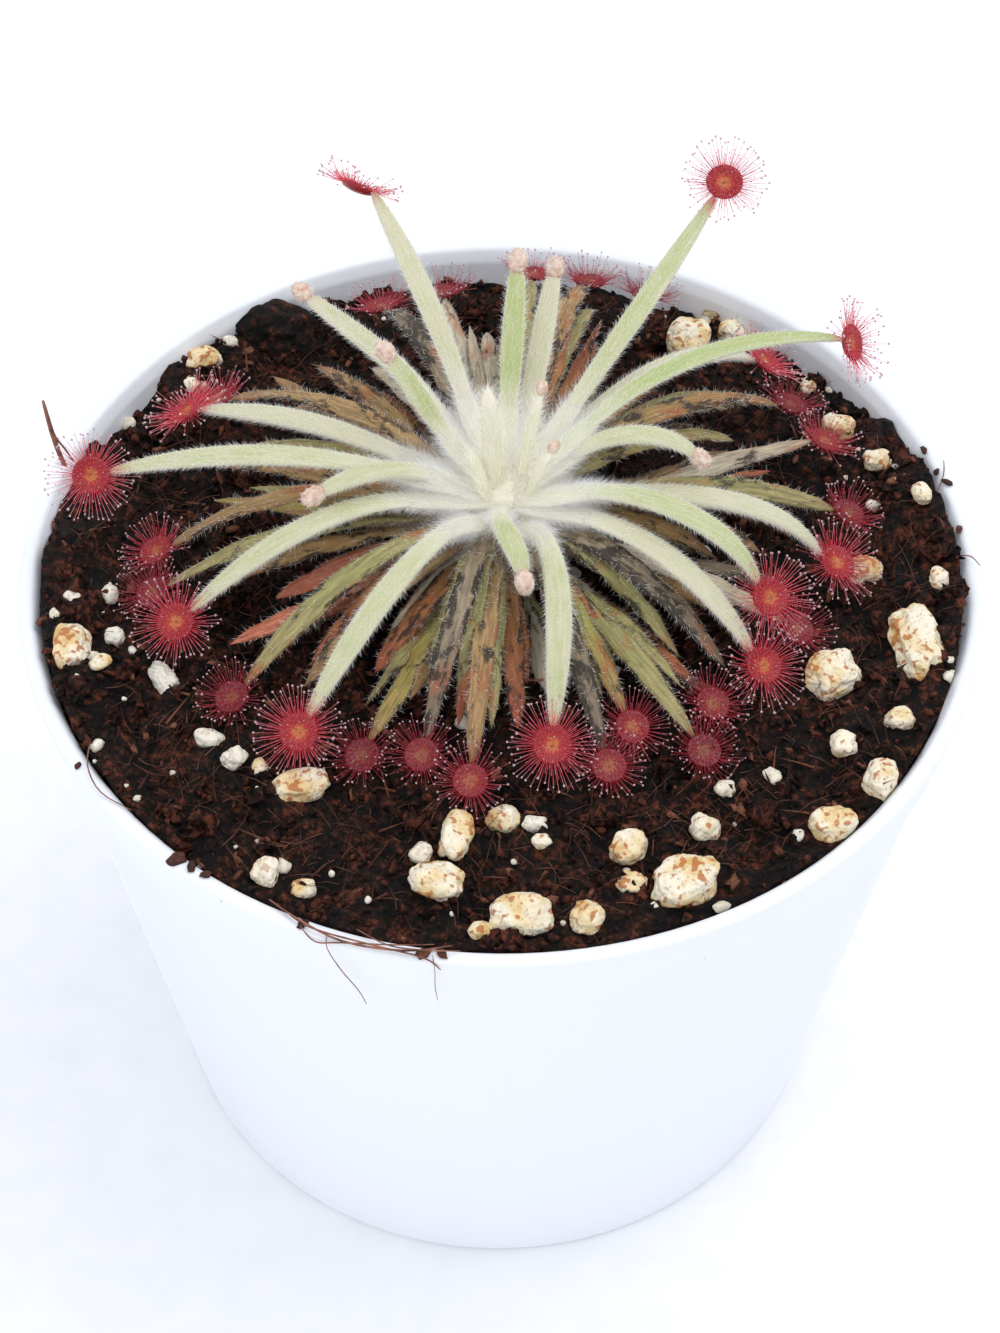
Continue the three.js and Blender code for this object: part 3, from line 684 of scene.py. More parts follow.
@dataclass(frozen=True)
class LeafSkin(Finish):
    """A young leaf's skin under its wool: fine lengthwise veins, paler at the base and margins."""

    silver: str = "#d0ccae"
    green: str = "#afbb7a"
    white: str = "#f8f3e8"
    blush: str = "#cf8378"
    vein_mm: float = 0.34

    def paint(self, add: Adder) -> dict:
        """Silvery green that runs lengthwise, whiter where the wool lies thickest.

        Args:
            add: adds a node.

        Returns:
            The shader's inputs.
        """
        marks = [add(ATTRIBUTE, attribute_name=name) for name in ("tone", "pale", "rosy", "run")]
        tone, pale, rosy = (own.outputs["Fac"] for own in marks[:3])
        drawn = add(VECTOR_MATH, (marks[3].outputs["Vector"], (0.14, 1.0, 1.0)), operation="MULTIPLY")
        veins = add(NOISE, {"Vector": drawn, "Scale": 1 / self.vein_mm})
        shade = add(MAP_RANGE, (veins, 0.35, 0.65, -0.3, 0.3))
        greenness = add(MATH, (tone, shade), operation="ADD", use_clamp=True)
        films = ((greenness, self.green), (pale, self.white), (rosy, self.blush))
        bump = add(BUMP, {"Height": veins, "Strength": 0.6, "Distance": 0.0001})
        depth = {"Subsurface Weight": 0.4, "Subsurface Radius": (0.0012, 0.0013, 0.0008)}
        return {"Base Color": self.silver, "Films": films, "Normal": bump} | depth


@dataclass(frozen=True)
class WitheredSkin(Finish):
    """A dying leaf: tan to olive, ridged by its veins, with rust and black sooty mould in blotches."""

    soot: str = "#211d1a"
    rust: str = "#a8542c"
    blotch_mm: float = 1.7
    rust_mm: float = 2.6
    vein_mm: float = 0.3

    def paint(self, add: Adder) -> dict:
        """The leaf's own colours, streaked lengthwise, with soot where mould has taken hold.

        Args:
            add: adds a node.

        Returns:
            The shader's inputs.
        """
        own, sooty, run = (add(ATTRIBUTE, attribute_name=name) for name in ("tint", "soot", "run"))
        run = run.outputs["Vector"]
        drawn = add(VECTOR_MATH, (run, (0.12, 1.0, 1.0)), operation="MULTIPLY")
        veins = add(NOISE, {"Vector": drawn, "Scale": 1 / self.vein_mm, "Detail": 4.0})
        streak = add(MAP_RANGE, (veins, 0.3, 0.7, 0.6, 1.3))
        tinted = {MIX_FACTOR: 1.0, MIX_A: own.outputs["Color"], MIX_B: streak}
        colour = add(MIX, tinted, data_type="RGBA", blend_type="MULTIPLY")
        spread = add(VECTOR_MATH, (run, (0.5, 1.0, 1.0)), operation="MULTIPLY")
        mould = {"Vector": spread, "Scale": 1 / self.blotch_mm, "Detail": 5.0, "Roughness": 0.65}
        blotches = add(NOISE, mould)
        reach = add(MATH, (sooty.outputs["Fac"], 0.26, blotches), operation="MULTIPLY_ADD")
        mask = add(MAP_RANGE, (reach, 0.65, 0.73, 0.0, 0.88))
        rot = {"Vector": spread, "Scale": 1 / self.rust_mm, "Detail": 4.0, "Roughness": 0.6}
        rusty = add(MAP_RANGE, (add(NOISE, rot), 0.54, 0.68, 0.0, 0.62))
        films = ((rusty, self.rust), (mask, self.soot))
        bump = add(BUMP, {"Height": veins, "Strength": 0.6, "Distance": 0.0002})
        return {"Base Color": colour, "Films": films, "Normal": bump}


@dataclass(frozen=True)
class PlantWool(Finish):
    """Fine dendritic hairs: white to cream, matt, and light enough to let some light through."""

    colour: str = "#ffffff"
    shaded: str = "#fbf4e4"
    # glow is painted light: the hairs give off a little light of their own
    glow: float = 0.0

    def paint(self, add: Adder) -> dict:
        """White wool that varies from hair to hair; glow is painted light, a faint glow in the wool's own
        colour that lifts the shade inside dense wool.

        Args:
            add: adds a node.

        Returns:
            The shader's inputs.
        """
        tone = add(ATTRIBUTE, attribute_name="tone").outputs["Fac"]
        colour = add(RAMP, {"Fac": tone}, ((0.0, self.shaded), (0.7, self.colour)))
        sheen = {"Sheen Weight": 0.4, "Sheen Roughness": 0.5}
        depth = {"Subsurface Weight": 0.7, "Subsurface Radius": (0.0012, 0.0012, 0.0011)}
        # painted light: the hairs glow faintly in their own colour, lifting the shade between them
        glow = {"Emission Color": colour, "Emission Strength": self.glow}
        return {"Base Color": colour} | glow | sheen | depth


@dataclass(frozen=True)
class TrapFlesh(Finish):
    """The trap's moist disc: orange and grainy in the middle, crimson towards the rim."""

    papilla: str = "#8a3a1c"
    heart: str = "#bf6a34"
    ring: str = "#b02a1e"
    rim: str = "#981824"
    dull: str = "#5c0e1a"
    papilla_mm: float = 0.24

    def paint(self, add: Adder) -> dict:
        """Orange turning to crimson, pebbled by papillae, and duller on an old trap.

        Args:
            add: adds a node.

        Returns:
            The shader's inputs.
        """
        place = add(COORDS).outputs["Object"]
        spread = add(ATTRIBUTE, attribute_name="spread").outputs["Fac"]
        age = add(ATTRIBUTE, attribute_name="age").outputs["Fac"]
        pebbles = add(CELLS, {"Vector": place, "Scale": 1 / (self.papilla_mm * MM)})
        shifted = add(MATH, (pebbles, 0.5, spread), operation="MULTIPLY_ADD")
        zones = (self.papilla, self.heart, self.heart, self.ring, self.rim)
        fresh = add(RAMP, {"Fac": shifted}, tuple(zip((0.26, 0.38, 0.5, 0.68, 0.95), zones)))
        bump = add(BUMP, {"Height": pebbles, "Strength": 0.5, "Distance": 0.00015})
        depth = {"Subsurface Weight": 0.1, "Subsurface Radius": (0.0004, 0.0001, 0.0001)}
        return {"Base Color": fresh, "Films": ((age, self.dull),), "Normal": bump} | depth


@dataclass(frozen=True)
class TentacleSkin(Finish):
    """A tentacle's stalk: crimson at its foot, clear pink under its gland, and dark on an old trap."""

    foot: str = "#de2a3c"
    middle: str = "#ee6072"
    tip: str = "#f7b6c0"
    dull: str = "#8a1426"

    def paint(self, add: Adder) -> dict:
        """Wet crimson that thins out to pink along each tentacle.

        Args:
            add: adds a node.

        Returns:
            The shader's inputs.
        """
        climb = add(ATTRIBUTE, attribute_name="climb").outputs["Fac"]
        age = add(ATTRIBUTE, attribute_name="age").outputs["Fac"]
        fresh = add(RAMP, {"Fac": climb}, ((0.0, self.foot), (0.55, self.middle), (1.0, self.tip)))
        depth = {"Subsurface Weight": 0.3, "Subsurface Radius": (0.0005, 0.0001, 0.0001)}
        return {"Base Color": fresh, "Films": ((age, self.dull),)} | depth


@dataclass(frozen=True)
class PlainFinish(Finish):
    """A finish of one colour with fine mottling, for pieces too small to show more."""

    colour: str = "#ffffff"
    mottle: str = "#ffffff"
    grain_mm: float = 0.5
    clear: float = 0.0

    def paint(self, add: Adder) -> dict:
        """Two near colours in fine grains; clear lets light through, as in a drop of glue.

        Args:
            add: adds a node.

        Returns:
            The shader's inputs.
        """
        place = add(COORDS).outputs["Object"]
        grain = add(NOISE, {"Vector": place, "Scale": 1 / (self.grain_mm * MM), "Detail": 3.0})
        colour = add(RAMP, {"Fac": grain}, ((0.35, self.colour), (0.7, self.mottle)))
        return {"Base Color": colour, "Transmission Weight": self.clear}


# -------- what grows or lies on a surface
class Recipe:
    """A Geometry Nodes tree under construction, with named inputs."""

    def __init__(self, name: str, sizes: str, counts: str, materials: str) -> None:
        """Starts the tree.

        Args:
            name: the tree's name.
            sizes: the names of its number inputs.
            counts: the names of its whole number inputs.
            materials: the names of its material inputs.
        """
        self.tree = bpy.data.node_groups.new(name, "GeometryNodeTree")
        self.add: Adder = partial(add_node, self.tree)
        face = self.tree.interface
        face.new_socket("Geometry", in_out="INPUT", socket_type="NodeSocketGeometry")
        for labels, kind in ((sizes, "Float"), (counts, "Int"), (materials, "Material")):
            for label in labels.split():
                face.new_socket(label, in_out="INPUT", socket_type=f"NodeSocket{kind}")
        face.new_socket("Geometry", in_out="OUTPUT", socket_type="NodeSocketGeometry")
        self.given = self.tree.nodes.new("NodeGroupInput").outputs

    def finish(self, *parts: Node) -> Tree:
        """Joins the parts as the tree's result.

        Args:
            *parts: the nodes that make them.

        Returns:
            The tree.
        """
        joined = self.add("GeometryNodeJoinGeometry")
        for part in parts:
            feed(self.tree, joined, (part,))
        feed(self.tree, self.tree.nodes.new("NodeGroupOutput"), (joined,))
        return self.tree


def wool_tree() -> Tree:
    """Hairs on a surface.

    The surface's points carry cover (how dense), shag (how long) and grain (the way the hairs lie). Each hair
    is a slender three sided cone that may bend.

    Returns:
        The tree, with inputs for the hairs' density, sizes, lie and materials.
    """
    recipe = Recipe("Wool", "Density Length Width Bend Lean Wildness", "Segments Seed", "Skin Wool")
    given, add = recipe.given, recipe.add
    surface, seed = given["Geometry"], given["Seed"]
    cover, shag = (add(MARKS, {"Name": name}) for name in ("cover", "shag"))
    grain = add(MARKS, {"Name": "grain"}, data_type="FLOAT_VECTOR")
    density = add(MATH, (cover, given["Density"]), operation="MULTIPLY")
    roots = add(SCATTER, {"Mesh": surface, "Density": density, "Seed": seed})
    both_ways = {0: (-1.0, -1.0, -1.0), 1: (1.0, 1.0, 1.0), RANDOM_SEED: seed}
    stray = add(RANDOM, both_ways, data_type="FLOAT_VECTOR")
    stray = add(VECTOR_MATH, {0: stray, "Scale": given["Wildness"]}, operation="SCALE")
    lying = add(VECTOR_MATH, {0: grain, "Scale": given["Lean"]}, operation="SCALE")
    upright = add(MATH, (1.0, given["Lean"]), operation="SUBTRACT")
    rising = add(VECTOR_MATH, {0: roots.outputs["Normal"], "Scale": upright}, operation="SCALE")
    way = add(VECTOR_MATH, (lying, rising), operation="ADD")
    way = add(VECTOR_MATH, (way, stray), operation="ADD")
    aimed = add(ALIGN, {"Vector": way}, axis="Z")
    whole_turn = {0: (0.0, 0.0, 0.0), 1: (0.0, 0.0, tau), RANDOM_SEED: seed}
    spin = add(RANDOM, whole_turn, data_type="FLOAT_VECTOR")
    spin = add(EULER, (spin,))
    spun = add("FunctionNodeRotateRotation", {"Rotation": aimed, "Rotate By": spin}, rotation_space="LOCAL")
    radius = add(MATH, (given["Width"], 0.5), operation="MULTIPLY")
    cone = {"Vertices": 3, "Side Segments": given["Segments"], "Radius Bottom": radius, "Depth": 1.0}
    hair = add(CONE, cone | {"Radius Top": 0.0}, fill_type="NONE")
    spot = add(SEPARATE, (add("GeometryNodeInputPosition"),))
    squared = add(MATH, (spot.outputs["Z"], 2.0), operation="POWER")
    bent = add(MATH, (squared, given["Bend"]), operation="MULTIPLY")
    hair = add(MOVE, {"Geometry": hair, "Offset": add(COMBINE, (bent,))})
    vary = add(RANDOM, {RANDOM_LOW: 0.45, RANDOM_HIGH: 1.0, RANDOM_SEED: seed})
    long = add(MATH, (vary, shag), operation="MULTIPLY")
    long = add(MATH, (long, given["Length"]), operation="MULTIPLY")
    size = add(COMBINE, (1.0, 1.0, long))
    hairs = add(INSTANCES, {"Points": roots, "Instance": hair, "Rotation": spun, "Scale": size})
    shade = add(RANDOM, {RANDOM_LOW: 0.0, RANDOM_HIGH: 1.0, RANDOM_SEED: seed})
    toned = {"Geometry": hairs, "Name": "tone", "Value": shade}
    toned = add(STORE, toned, data_type="FLOAT", domain="INSTANCE")
    real = add(REALIZE, (toned,))
    return recipe.finish(
        add(COAT, {"Geometry": surface, "Material": given["Skin"]}),
        add(COAT, {"Geometry": real, "Material": given["Wool"]}),
    )


def litter_tree() -> Tree:
    """Loose lumps lying on a surface, where its points carry cover.

    Returns:
        The tree, with inputs for the lumps' density, sizes, flatness, roughness and material.
    """
    sizes = "Density Smallest Largest Breadth Flatness Lift Roughness Grain"
    recipe = Recipe("Litter", sizes, "Facets Seed", "Material")
    given, add, seed = recipe.given, recipe.add, recipe.given["Seed"]
    cover, bulk = (add(MARKS, {"Name": name}) for name in ("cover", "bulk"))
    density = add(MATH, (cover, given["Density"]), operation="MULTIPLY")
    spots = add(SCATTER, {"Mesh": given["Geometry"], "Density": density, "Seed": seed})
    lump = add(ICOSPHERE, {"Radius": 0.5, "Subdivisions": given["Facets"]})
    shape = add(COMBINE, (1.0, given["Breadth"], given["Flatness"]))
    lump = add("GeometryNodeTransform", {"Geometry": lump, "Scale": shape})
    tumbled = {0: (-0.7, -0.7, 0.0), 1: (0.7, 0.7, tau), RANDOM_SEED: seed}
    spin = add(RANDOM, tumbled, data_type="FLOAT_VECTOR")
    spin = add(EULER, (spin,))
    share = add(RANDOM, {RANDOM_LOW: 0.0, RANDOM_HIGH: 1.0, RANDOM_SEED: seed})
    mostly_small = add(MATH, (share, 2.2), operation="POWER")
    size = add(MAP_RANGE, {0: mostly_small, 3: given["Smallest"], 4: given["Largest"]})
    lifted = add(MATH, (size, given["Lift"]), operation="MULTIPLY")
    raised = add(MOVE, {"Geometry": spots, "Offset": add(COMBINE, {2: lifted})})
    lumps = add(INSTANCES, {"Points": raised, "Instance": lump, "Rotation": spin, "Scale": size})
    for name, value in (("tone", share), ("bulk", size)):
        stored = {"Geometry": lumps, "Name": name, "Value": value}
        lumps = add(STORE, stored, data_type="FLOAT", domain="INSTANCE")
    real = add(REALIZE, (lumps,))
    often = add(MATH, (1.0, given["Grain"]), operation="DIVIDE")
    dents = add(NOISE, {"Scale": often, "Detail": 2.0})
    push = add(VECTOR_MATH, (dents.outputs["Color"], (0.5, 0.5, 0.5)), operation="SUBTRACT")
    deep = add(MATH, (bulk, given["Roughness"]), operation="MULTIPLY")
    push = add(VECTOR_MATH, {0: push, "Scale": deep}, operation="SCALE")
    rough = add(MOVE, {"Geometry": real, "Offset": push})
    return recipe.finish(add(COAT, {"Geometry": rough, "Material": given["Material"]}))


def tentacle_tree() -> Tree:
    """Tentacles on a trap.

    Each point is a tentacle's foot and carries aim (its direction), lift (the side that it curls to), reach
    (its length), curl (how far its end bends over) and dewy (how large its drop is).

    Returns:
        The tree, with inputs for the stalk's, gland's and drop's sizes and their materials.
    """
    recipe = Recipe("Tentacles", "Stalk Gland Drop", "", "Skin Head Dew")
    given, add, feet = recipe.given, recipe.add, recipe.given["Geometry"]
    names = ("reach", "curl", "climb", "dewy")
    reach, curl, climb, dewy = (add(MARKS, {"Name": name}) for name in names)
    kind = {"data_type": "FLOAT_VECTOR"}
    aim, lift, bend = (add(MARKS, {"Name": n}, **kind) for n in ("aim", "lift", "bend"))
    aimed = add(ALIGN, {"Vector": aim}, axis="Z")
    rolled = add(ALIGN, {"Rotation": aimed, "Vector": lift}, axis="X", pivot_axis="Z")
    slim = add(MATH, (given["Stalk"], 0.5), operation="MULTIPLY")
    cone = {"Side Segments": 2, "Radius Top": slim, "Radius Bottom": given["Stalk"], "Depth": 1.0}
    stalk = add(CONE, {"Vertices": 3} | cone, fill_type="NONE")
    height = add(SEPARATE, (add("GeometryNodeInputPosition"),)).outputs["Z"]
    stalk = add(STORE, {"Geometry": stalk, "Name": "climb", "Value": height})
    size = add(COMBINE, (1.0, 1.0, reach))
    stalks = add(INSTANCES, {"Points": feet, "Instance": stalk, "Rotation": rolled, "Scale": size})
    curve = add(VECTOR_MATH, {0: lift, "Scale": curl}, operation="SCALE")
    carried = {"Geometry": stalks, "Name": "bend", "Value": curve}
    carried = add(STORE, carried, domain="INSTANCE", **kind)
    real = add(REALIZE, (carried,))
    rise = add(MATH, (climb, 2.0), operation="POWER")
    curled = add(VECTOR_MATH, {0: bend, "Scale": rise}, operation="SCALE")
    bent = add(MOVE, {"Geometry": real, "Offset": curled})
    reached = add(VECTOR_MATH, {0: aim, "Scale": reach}, operation="SCALE")
    tip = add(VECTOR_MATH, (reached, curve), operation="ADD")
    tips = add(MOVE, {"Geometry": feet, "Offset": tip})
    gland = add(ICOSPHERE, {"Radius": given["Gland"], "Subdivisions": 1})
    glands = add(INSTANCES, {"Points": tips, "Instance": gland})
    drop = add(ICOSPHERE, {"Radius": given["Drop"], "Subdivisions": 1})
    wet = add("FunctionNodeCompare", (dewy, 0.1), operation="GREATER_THAN")
    drops = add(INSTANCES, {"Points": tips, "Selection": wet, "Instance": drop, "Scale": dewy})
    parts = []
    for part, label in ((bent, "Skin"), (glands, "Head"), (drops, "Dew")):
        solid = add(REALIZE, (part,))
        parts.append(add(COAT, {"Geometry": solid, "Material": given[label]}))
    return recipe.finish(*parts)


def grow(piece: Piece, tree: Tree, sizes: dict) -> Piece:
    """Replaces a piece's mesh with what a tree makes of it.

    Args:
        piece: the piece whose mesh goes in.
        tree: the Geometry Nodes tree.
        sizes: the tree's inputs by name, in metres.

    Returns:
        The same piece, with a plain mesh.
    """
    modifier = piece.modifiers.new(tree.name, "NODES")
    modifier.node_group = tree
    for item in tree.interface.items_tree:
        if item.item_type == "SOCKET" and item.in_out == "INPUT" and item.name in sizes:
            modifier[item.identifier] = sizes[item.name]
    depsgraph = bpy.context.evaluated_depsgraph_get()
    solid = piece.evaluated_get(depsgraph)
    grown = bpy.data.meshes.new_from_object(solid, preserve_all_data_layers=True, depsgraph=depsgraph)
    piece.modifiers.remove(modifier)
    old, piece.data = piece.data, grown
    bpy.data.meshes.remove(old)
    grown.name = piece.name
    keep_used_slots(grown)
    grown.shade_smooth()
    return piece


class Growth:
    """What a tree grows or strews: its numbers are named as the tree's inputs are."""

    def inputs(self, *lengths: str) -> dict:
        """The tree's inputs, in metres.

        Args:
            *lengths: the names of those that are lengths.

        Returns:
            The inputs by name.
        """
        given = {name.capitalize(): value for name, value in vars(self).items()}
        given["Density"] /= MM**2
        return given | {name: given[name] * MM for name in lengths}


@dataclass(frozen=True)
class Fur(Growth):
    """Hairs: how many stand on a square millimetre, and their length, width and bend in millimetres.

    Lean is how flat they lie along the grain, wildness how far they stray from it, and segments how many
    stretches a hair has.
    """

    density: float
    length: float
    width: float
    bend: float
    lean: float
    wildness: float
    segments: int = 1

    def grow(self, piece: Piece, tree: Tree, looks: tuple, seed: int) -> Piece:
        """Grows the hairs on a piece; looks are the materials of its skin and of the hairs."""
        sizes = self.inputs("Length", "Width", "Bend")
        return grow(piece, tree, sizes | {"Seed": seed, "Skin": looks[0], "Wool": looks[1]})


@dataclass(frozen=True)
class Litter(Growth):
    """Loose lumps: how many lie on a square millimetre, and their least and greatest size in millimetres.

    Breadth, flatness and lift are shares of a lump's size. Grain is the width of its dents in millimetres,
    and roughness is how deep they are.
    """

    name: str
    density: float
    smallest: float
    largest: float
    breadth: float
    flatness: float
    lift: float
    roughness: float
    grain: float
    facets: int
    seed: int

    def strew(self, piece: Piece, tree: Tree, material: Material) -> None:
        """Turns a piece into the lumps that lie on it."""
        grow(piece, tree, self.inputs("Smallest", "Largest", "Grain") | {"Material": material})


# -------- pot
@dataclass
class Pot:
    """The round nursery pot: a tapered cup with a collar round its rim and a ring foot."""

    rim_radius: float = 45.0
    height: float = 68.0
    foot_radius: float = 33.5
    wall: float = 1.25
    lip: float = 1.4
    collar_height: float = 6.5
    collar_step: float = 0.7
    foot_width: float = 3.0
    foot_height: float = 1.5
    floor: float = 1.2
    drain_holes: int = 6
    drain_radius: float = 2.6
    drain_circle: float = 21.0
    sides: int = 144
    drain_sides: int = 32
    edge_steps: int = 4
    sharp_angle: float = 40.0

    def wall_radius(self, height: float) -> float:
        """Outer radius of the plain wall at a height."""
        return lerp(self.foot_radius, self.rim_radius - self.collar_step, height / self.height)

    def inside_radius(self, height: float) -> float:
        """Radius of the pot's inside at a height."""
        return self.wall_radius(height) - self.wall

    def profile(self) -> list[tuple[float, float]]:
        """The wall's outline from the foot's middle, out, up and back in, with its edges rounded.

        Returns:
            Radii and heights.
        """
        collar, floor_top = self.height - self.collar_height, self.foot_height + self.floor
        inner_foot = self.foot_radius - self.foot_width
        corners = (
            (0.0, self.foot_height, 0.0),
            (inner_foot, self.foot_height, 0.5),
            (inner_foot + 0.4, 0.0, 0.4),
            (self.foot_radius, 0.0, 0.8),
            (self.wall_radius(collar), collar, 0.15),
            (self.wall_radius(collar) + self.collar_step - 0.05, collar + 0.1, 0.35),
            (self.rim_radius, self.height, 0.65),
            (self.rim_radius - self.lip, self.height, 0.5),
            (self.inside_radius(self.height - self.lip), self.height - self.lip, 0.3),
            (self.inside_radius(floor_top), floor_top, 1.0),
            (0.0, floor_top, 0.0),
        )
        outline = [corners[0][:2]]
        for before, (*corner, rounding), after in zip(corners, corners[1:], corners[2:]):
            here = Vector(corner)
            back, onward = ((Vector(other[:2]) - here).normalized() * rounding for other in (before, after))
            shares = [step / self.edge_steps for step in range(self.edge_steps + 1)]
            outline += [tuple(here + back * (1 - t) ** 2 + onward * t**2) for t in shares]
        return [*outline, corners[-1][:2]]

    def build(self) -> Piece:
        """Turns the outline into the pot and drills its drain holes.

        Returns:
            The pot.
        """
        pot = turned("white_pot", self.profile(), self.sides, Vector((0, 0, 0)))
        ends = (-1.0, 2 * (self.foot_height + self.floor))
        bit = [(0.0, ends[0]), *((self.drain_radius, end) for end in ends), (0.0, ends[1])]
        places = [outward(360 * i / self.drain_holes) * self.drain_circle for i in range(self.drain_holes)]
        drill = join("drain_drill", [turned("drill", bit, self.drain_sides, place) for place in places])
        cut = pot.modifiers.new("drain holes", "BOOLEAN")
        cut.object, cut.solver = drill, "EXACT"
        depsgraph = bpy.context.evaluated_depsgraph_get()
        drilled = bpy.data.meshes.new_from_object(pot.evaluated_get(depsgraph), depsgraph=depsgraph)
        pot.modifiers.remove(cut)
        pot.data = drilled
        bpy.data.objects.remove(drill)
        drilled.shade_smooth()
        drilled.set_sharp_from_angle(angle=radians(self.sharp_angle))
        return pot

    def dress(self, pot: Piece) -> None:
        """Gives the pot its plastic."""
        pot.data.materials.clear()
        pot.data.materials.append(MouldedPolypropylene("moulded white polypropylene", 0.34).material())


# -------- bed of soil
PEAT_CLODS = Litter("peat_clods", 0.05, 1.1, 2.8, 0.8, 0.65, 0.08, 2.0, 0.6, 2, 3)
PEAT_CRUMBS = Litter("peat_crumbs", 0.62, 0.35, 1.3, 0.7, 0.7, 0.2, 1.3, 0.4, 1, 5)
BARK_FLAKES = Litter("bark_flakes", 0.09, 0.4, 1.8, 0.4, 0.25, 0.25, 1.0, 0.6, 1, 8)
PERLITE_GRAINS = Litter("perlite_grains", 0.03, 0.5, 1.9, 0.8, 0.7, 0.2, 0.5, 0.6, 2, 13)
MOSS = Fur(0.55, 4.5, 0.12, 1.8, 0.82, 0.9, 3)
SPLINTERS = Fur(0.05, 3.6, 0.35, 0.2, 0.82, 0.9, 3)


@dataclass
class Bed:
    """The bed of damp peat, its stones, and the crumbs, bark, fibres and perlite strewn over it.

    Each heap against the rim has its azimuth and its half width, in degrees, and its height at the rim. No
    small perlite lies in the ring round the crown where the traps are.
    """

    pot: Pot
    front_drop: float = 0.7
    back_drop: float = 3.4
    dish: float = 0.8
    roughness: float = 0.45
    stone_height: float = 0.9
    stone_rise: float = 0.1
    stone_girth: float = 0.45
    stone_boxiness: float = 0.6
    stone_lumpiness: float = 0.3
    pore_width: float = 0.32
    rings: int = 70
    spokes: int = 220
    clod_scale: float = 0.25
    clod_relief: float = 1.1
    hollow_scale: float = 0.34
    crumb_scale: float = 0.8
    crumb_relief: float = 0.6
    sunk: float = 0.35
    clearance: float = 0.3
    wall_gap: float = 0.05
    above_rim: float = 0.3
    skirt: float = 4.0
    small_stone: float = 2.0
    large_stone: float = 4.25
    heaps: tuple[Numbers, ...] = ((8, 22, 2.2), (186, 24, 1.9), (137, 8, 2.0))
    heap_foot: float = 32.0
    heap_top: float = 43.0
    crown_y: float = 3.0
    traps_inner: float = 23.0
    traps_outer: float = 34.5

    def free_of_traps(self, spot: Vector) -> bool:
        """Whether a place, in metres, is clear of the ring of traps round the crown."""
        away = hypot(spot.x / MM, spot.y / MM - self.crown_y)
        return not self.traps_inner < away < self.traps_outer

    def heap(self, x: float, y: float) -> float:
        """How much the bed rises at a place where it is heaped against the rim.

        Args:
            x: how far right of the pot's axis the place is.
            y: how far behind it.

        Returns:
            The rise.
        """
        azimuth, lift = degrees(atan2(y, x)) % 360, 0.0
        for middle, half_width, high in self.heaps:
            aside = abs((azimuth - middle + 180) % 360 - 180)
            lift += high * ease(-aside, -1.6 * half_width, -0.4 * half_width)
        return lift * ease(hypot(x, y), self.heap_foot, self.heap_top)

    def height(self, x: float, y: float) -> float:
        """Height of the bed at a place, without its crumbs and stones.

        Args:
            x: how far right of the pot's axis the place is.
            y: how far behind it.

        Returns:
            The height above the ground.
        """
        rim = self.pot.rim_radius
        edge = self.pot.height - lerp(self.front_drop, self.back_drop, ease(y, -rim / 3, rim * 0.8))
        dish = self.dish * (1 - (hypot(x, y) / rim) ** 2)
        clods = sin(x * 0.42 + 1.3 * sin(y * 0.21)) * cos(y * 0.37 - 0.9 * sin(x * 0.19))
        clods += 0.4 * sin(x * 0.7 - y * 0.6)
        return edge - dish + self.roughness * clods + self.heap(x, y)

    def surface(self, x: float, y: float) -> float:
        """Height of the crumbly surface: the bed's with clods and crumbs on it.

        Args:
            x: how far right of the pot's axis the place is.
            y: how far behind it.

        Returns:
            The height above the ground.
        """
        clods = noise.fractal(Vector((x, y, 0)) * self.clod_scale, 1.0, 2.0, 3)
        hollows = max(0.0, 0.5 - noise.voronoi(Vector((x, y, 3)) * self.hollow_scale)[0][0])
        crumbs = noise.fractal(Vector((x, y, 7)) * self.crumb_scale, 0.7, 2.1, 4)
        lift = self.clod_relief * (0.6 * clods + hollows) + self.crumb_relief * crumbs
        return self.height(x, y) + lift - self.sunk

    def build_bed(self) -> Piece:
        """The bed: a crumbly top, and plain sides and bottom that fill the pot.

        Returns:
            The piece, marked with what its litter and its peat need.
        """
        bottom = self.pot.foot_height + self.pot.floor + self.clearance
        low = self.pot.height - self.back_drop - self.skirt
        reach = self.pot.inside_radius(self.pot.height - self.front_drop) - self.clearance / 2
        ways = [outward(360 * k / self.spokes) for k in range(self.spokes)]
        vertices = [UP * self.surface(0, 0)]
        for ring in range(1, self.rings + 1):
            spots = [way * (reach * ring / self.rings) for way in ways]
            vertices += [spot + UP * self.surface(spot.x, spot.y) for spot in spots]
        top = len(vertices)
        for height, gap in ((low, self.clearance), (bottom, 2 * self.clearance)):
            vertices += [way * (self.pot.inside_radius(height) - gap) + UP * height for way in ways]
        vertices.append(UP * bottom)
        bed = make_piece("peat_bed", vertices, ring_faces(self.rings + 2, self.spokes, True))
        mark(bed, cover=[float(i < top) for i in range(len(vertices))], shag=1.0, grain=Vector((0, 0, 0)))
        mark(bed, tone=[0.3 + 0.9 * noise.noise(v * 0.3) for v in vertices])
        return bed

    def confine(self, piece: Piece) -> None:
        """Draws in the points of a piece that would reach into the pot's wall.

        Args:
            piece: the piece.
        """
        for vertex in piece.data.vertices:
            height, away = vertex.co.z / MM, vertex.co.xy.length / MM
            free = self.pot.inside_radius(height) - self.wall_gap
            if height < self.pot.height + self.above_rim and away > free:
                vertex.co.x *= free / away
                vertex.co.y *= free / away

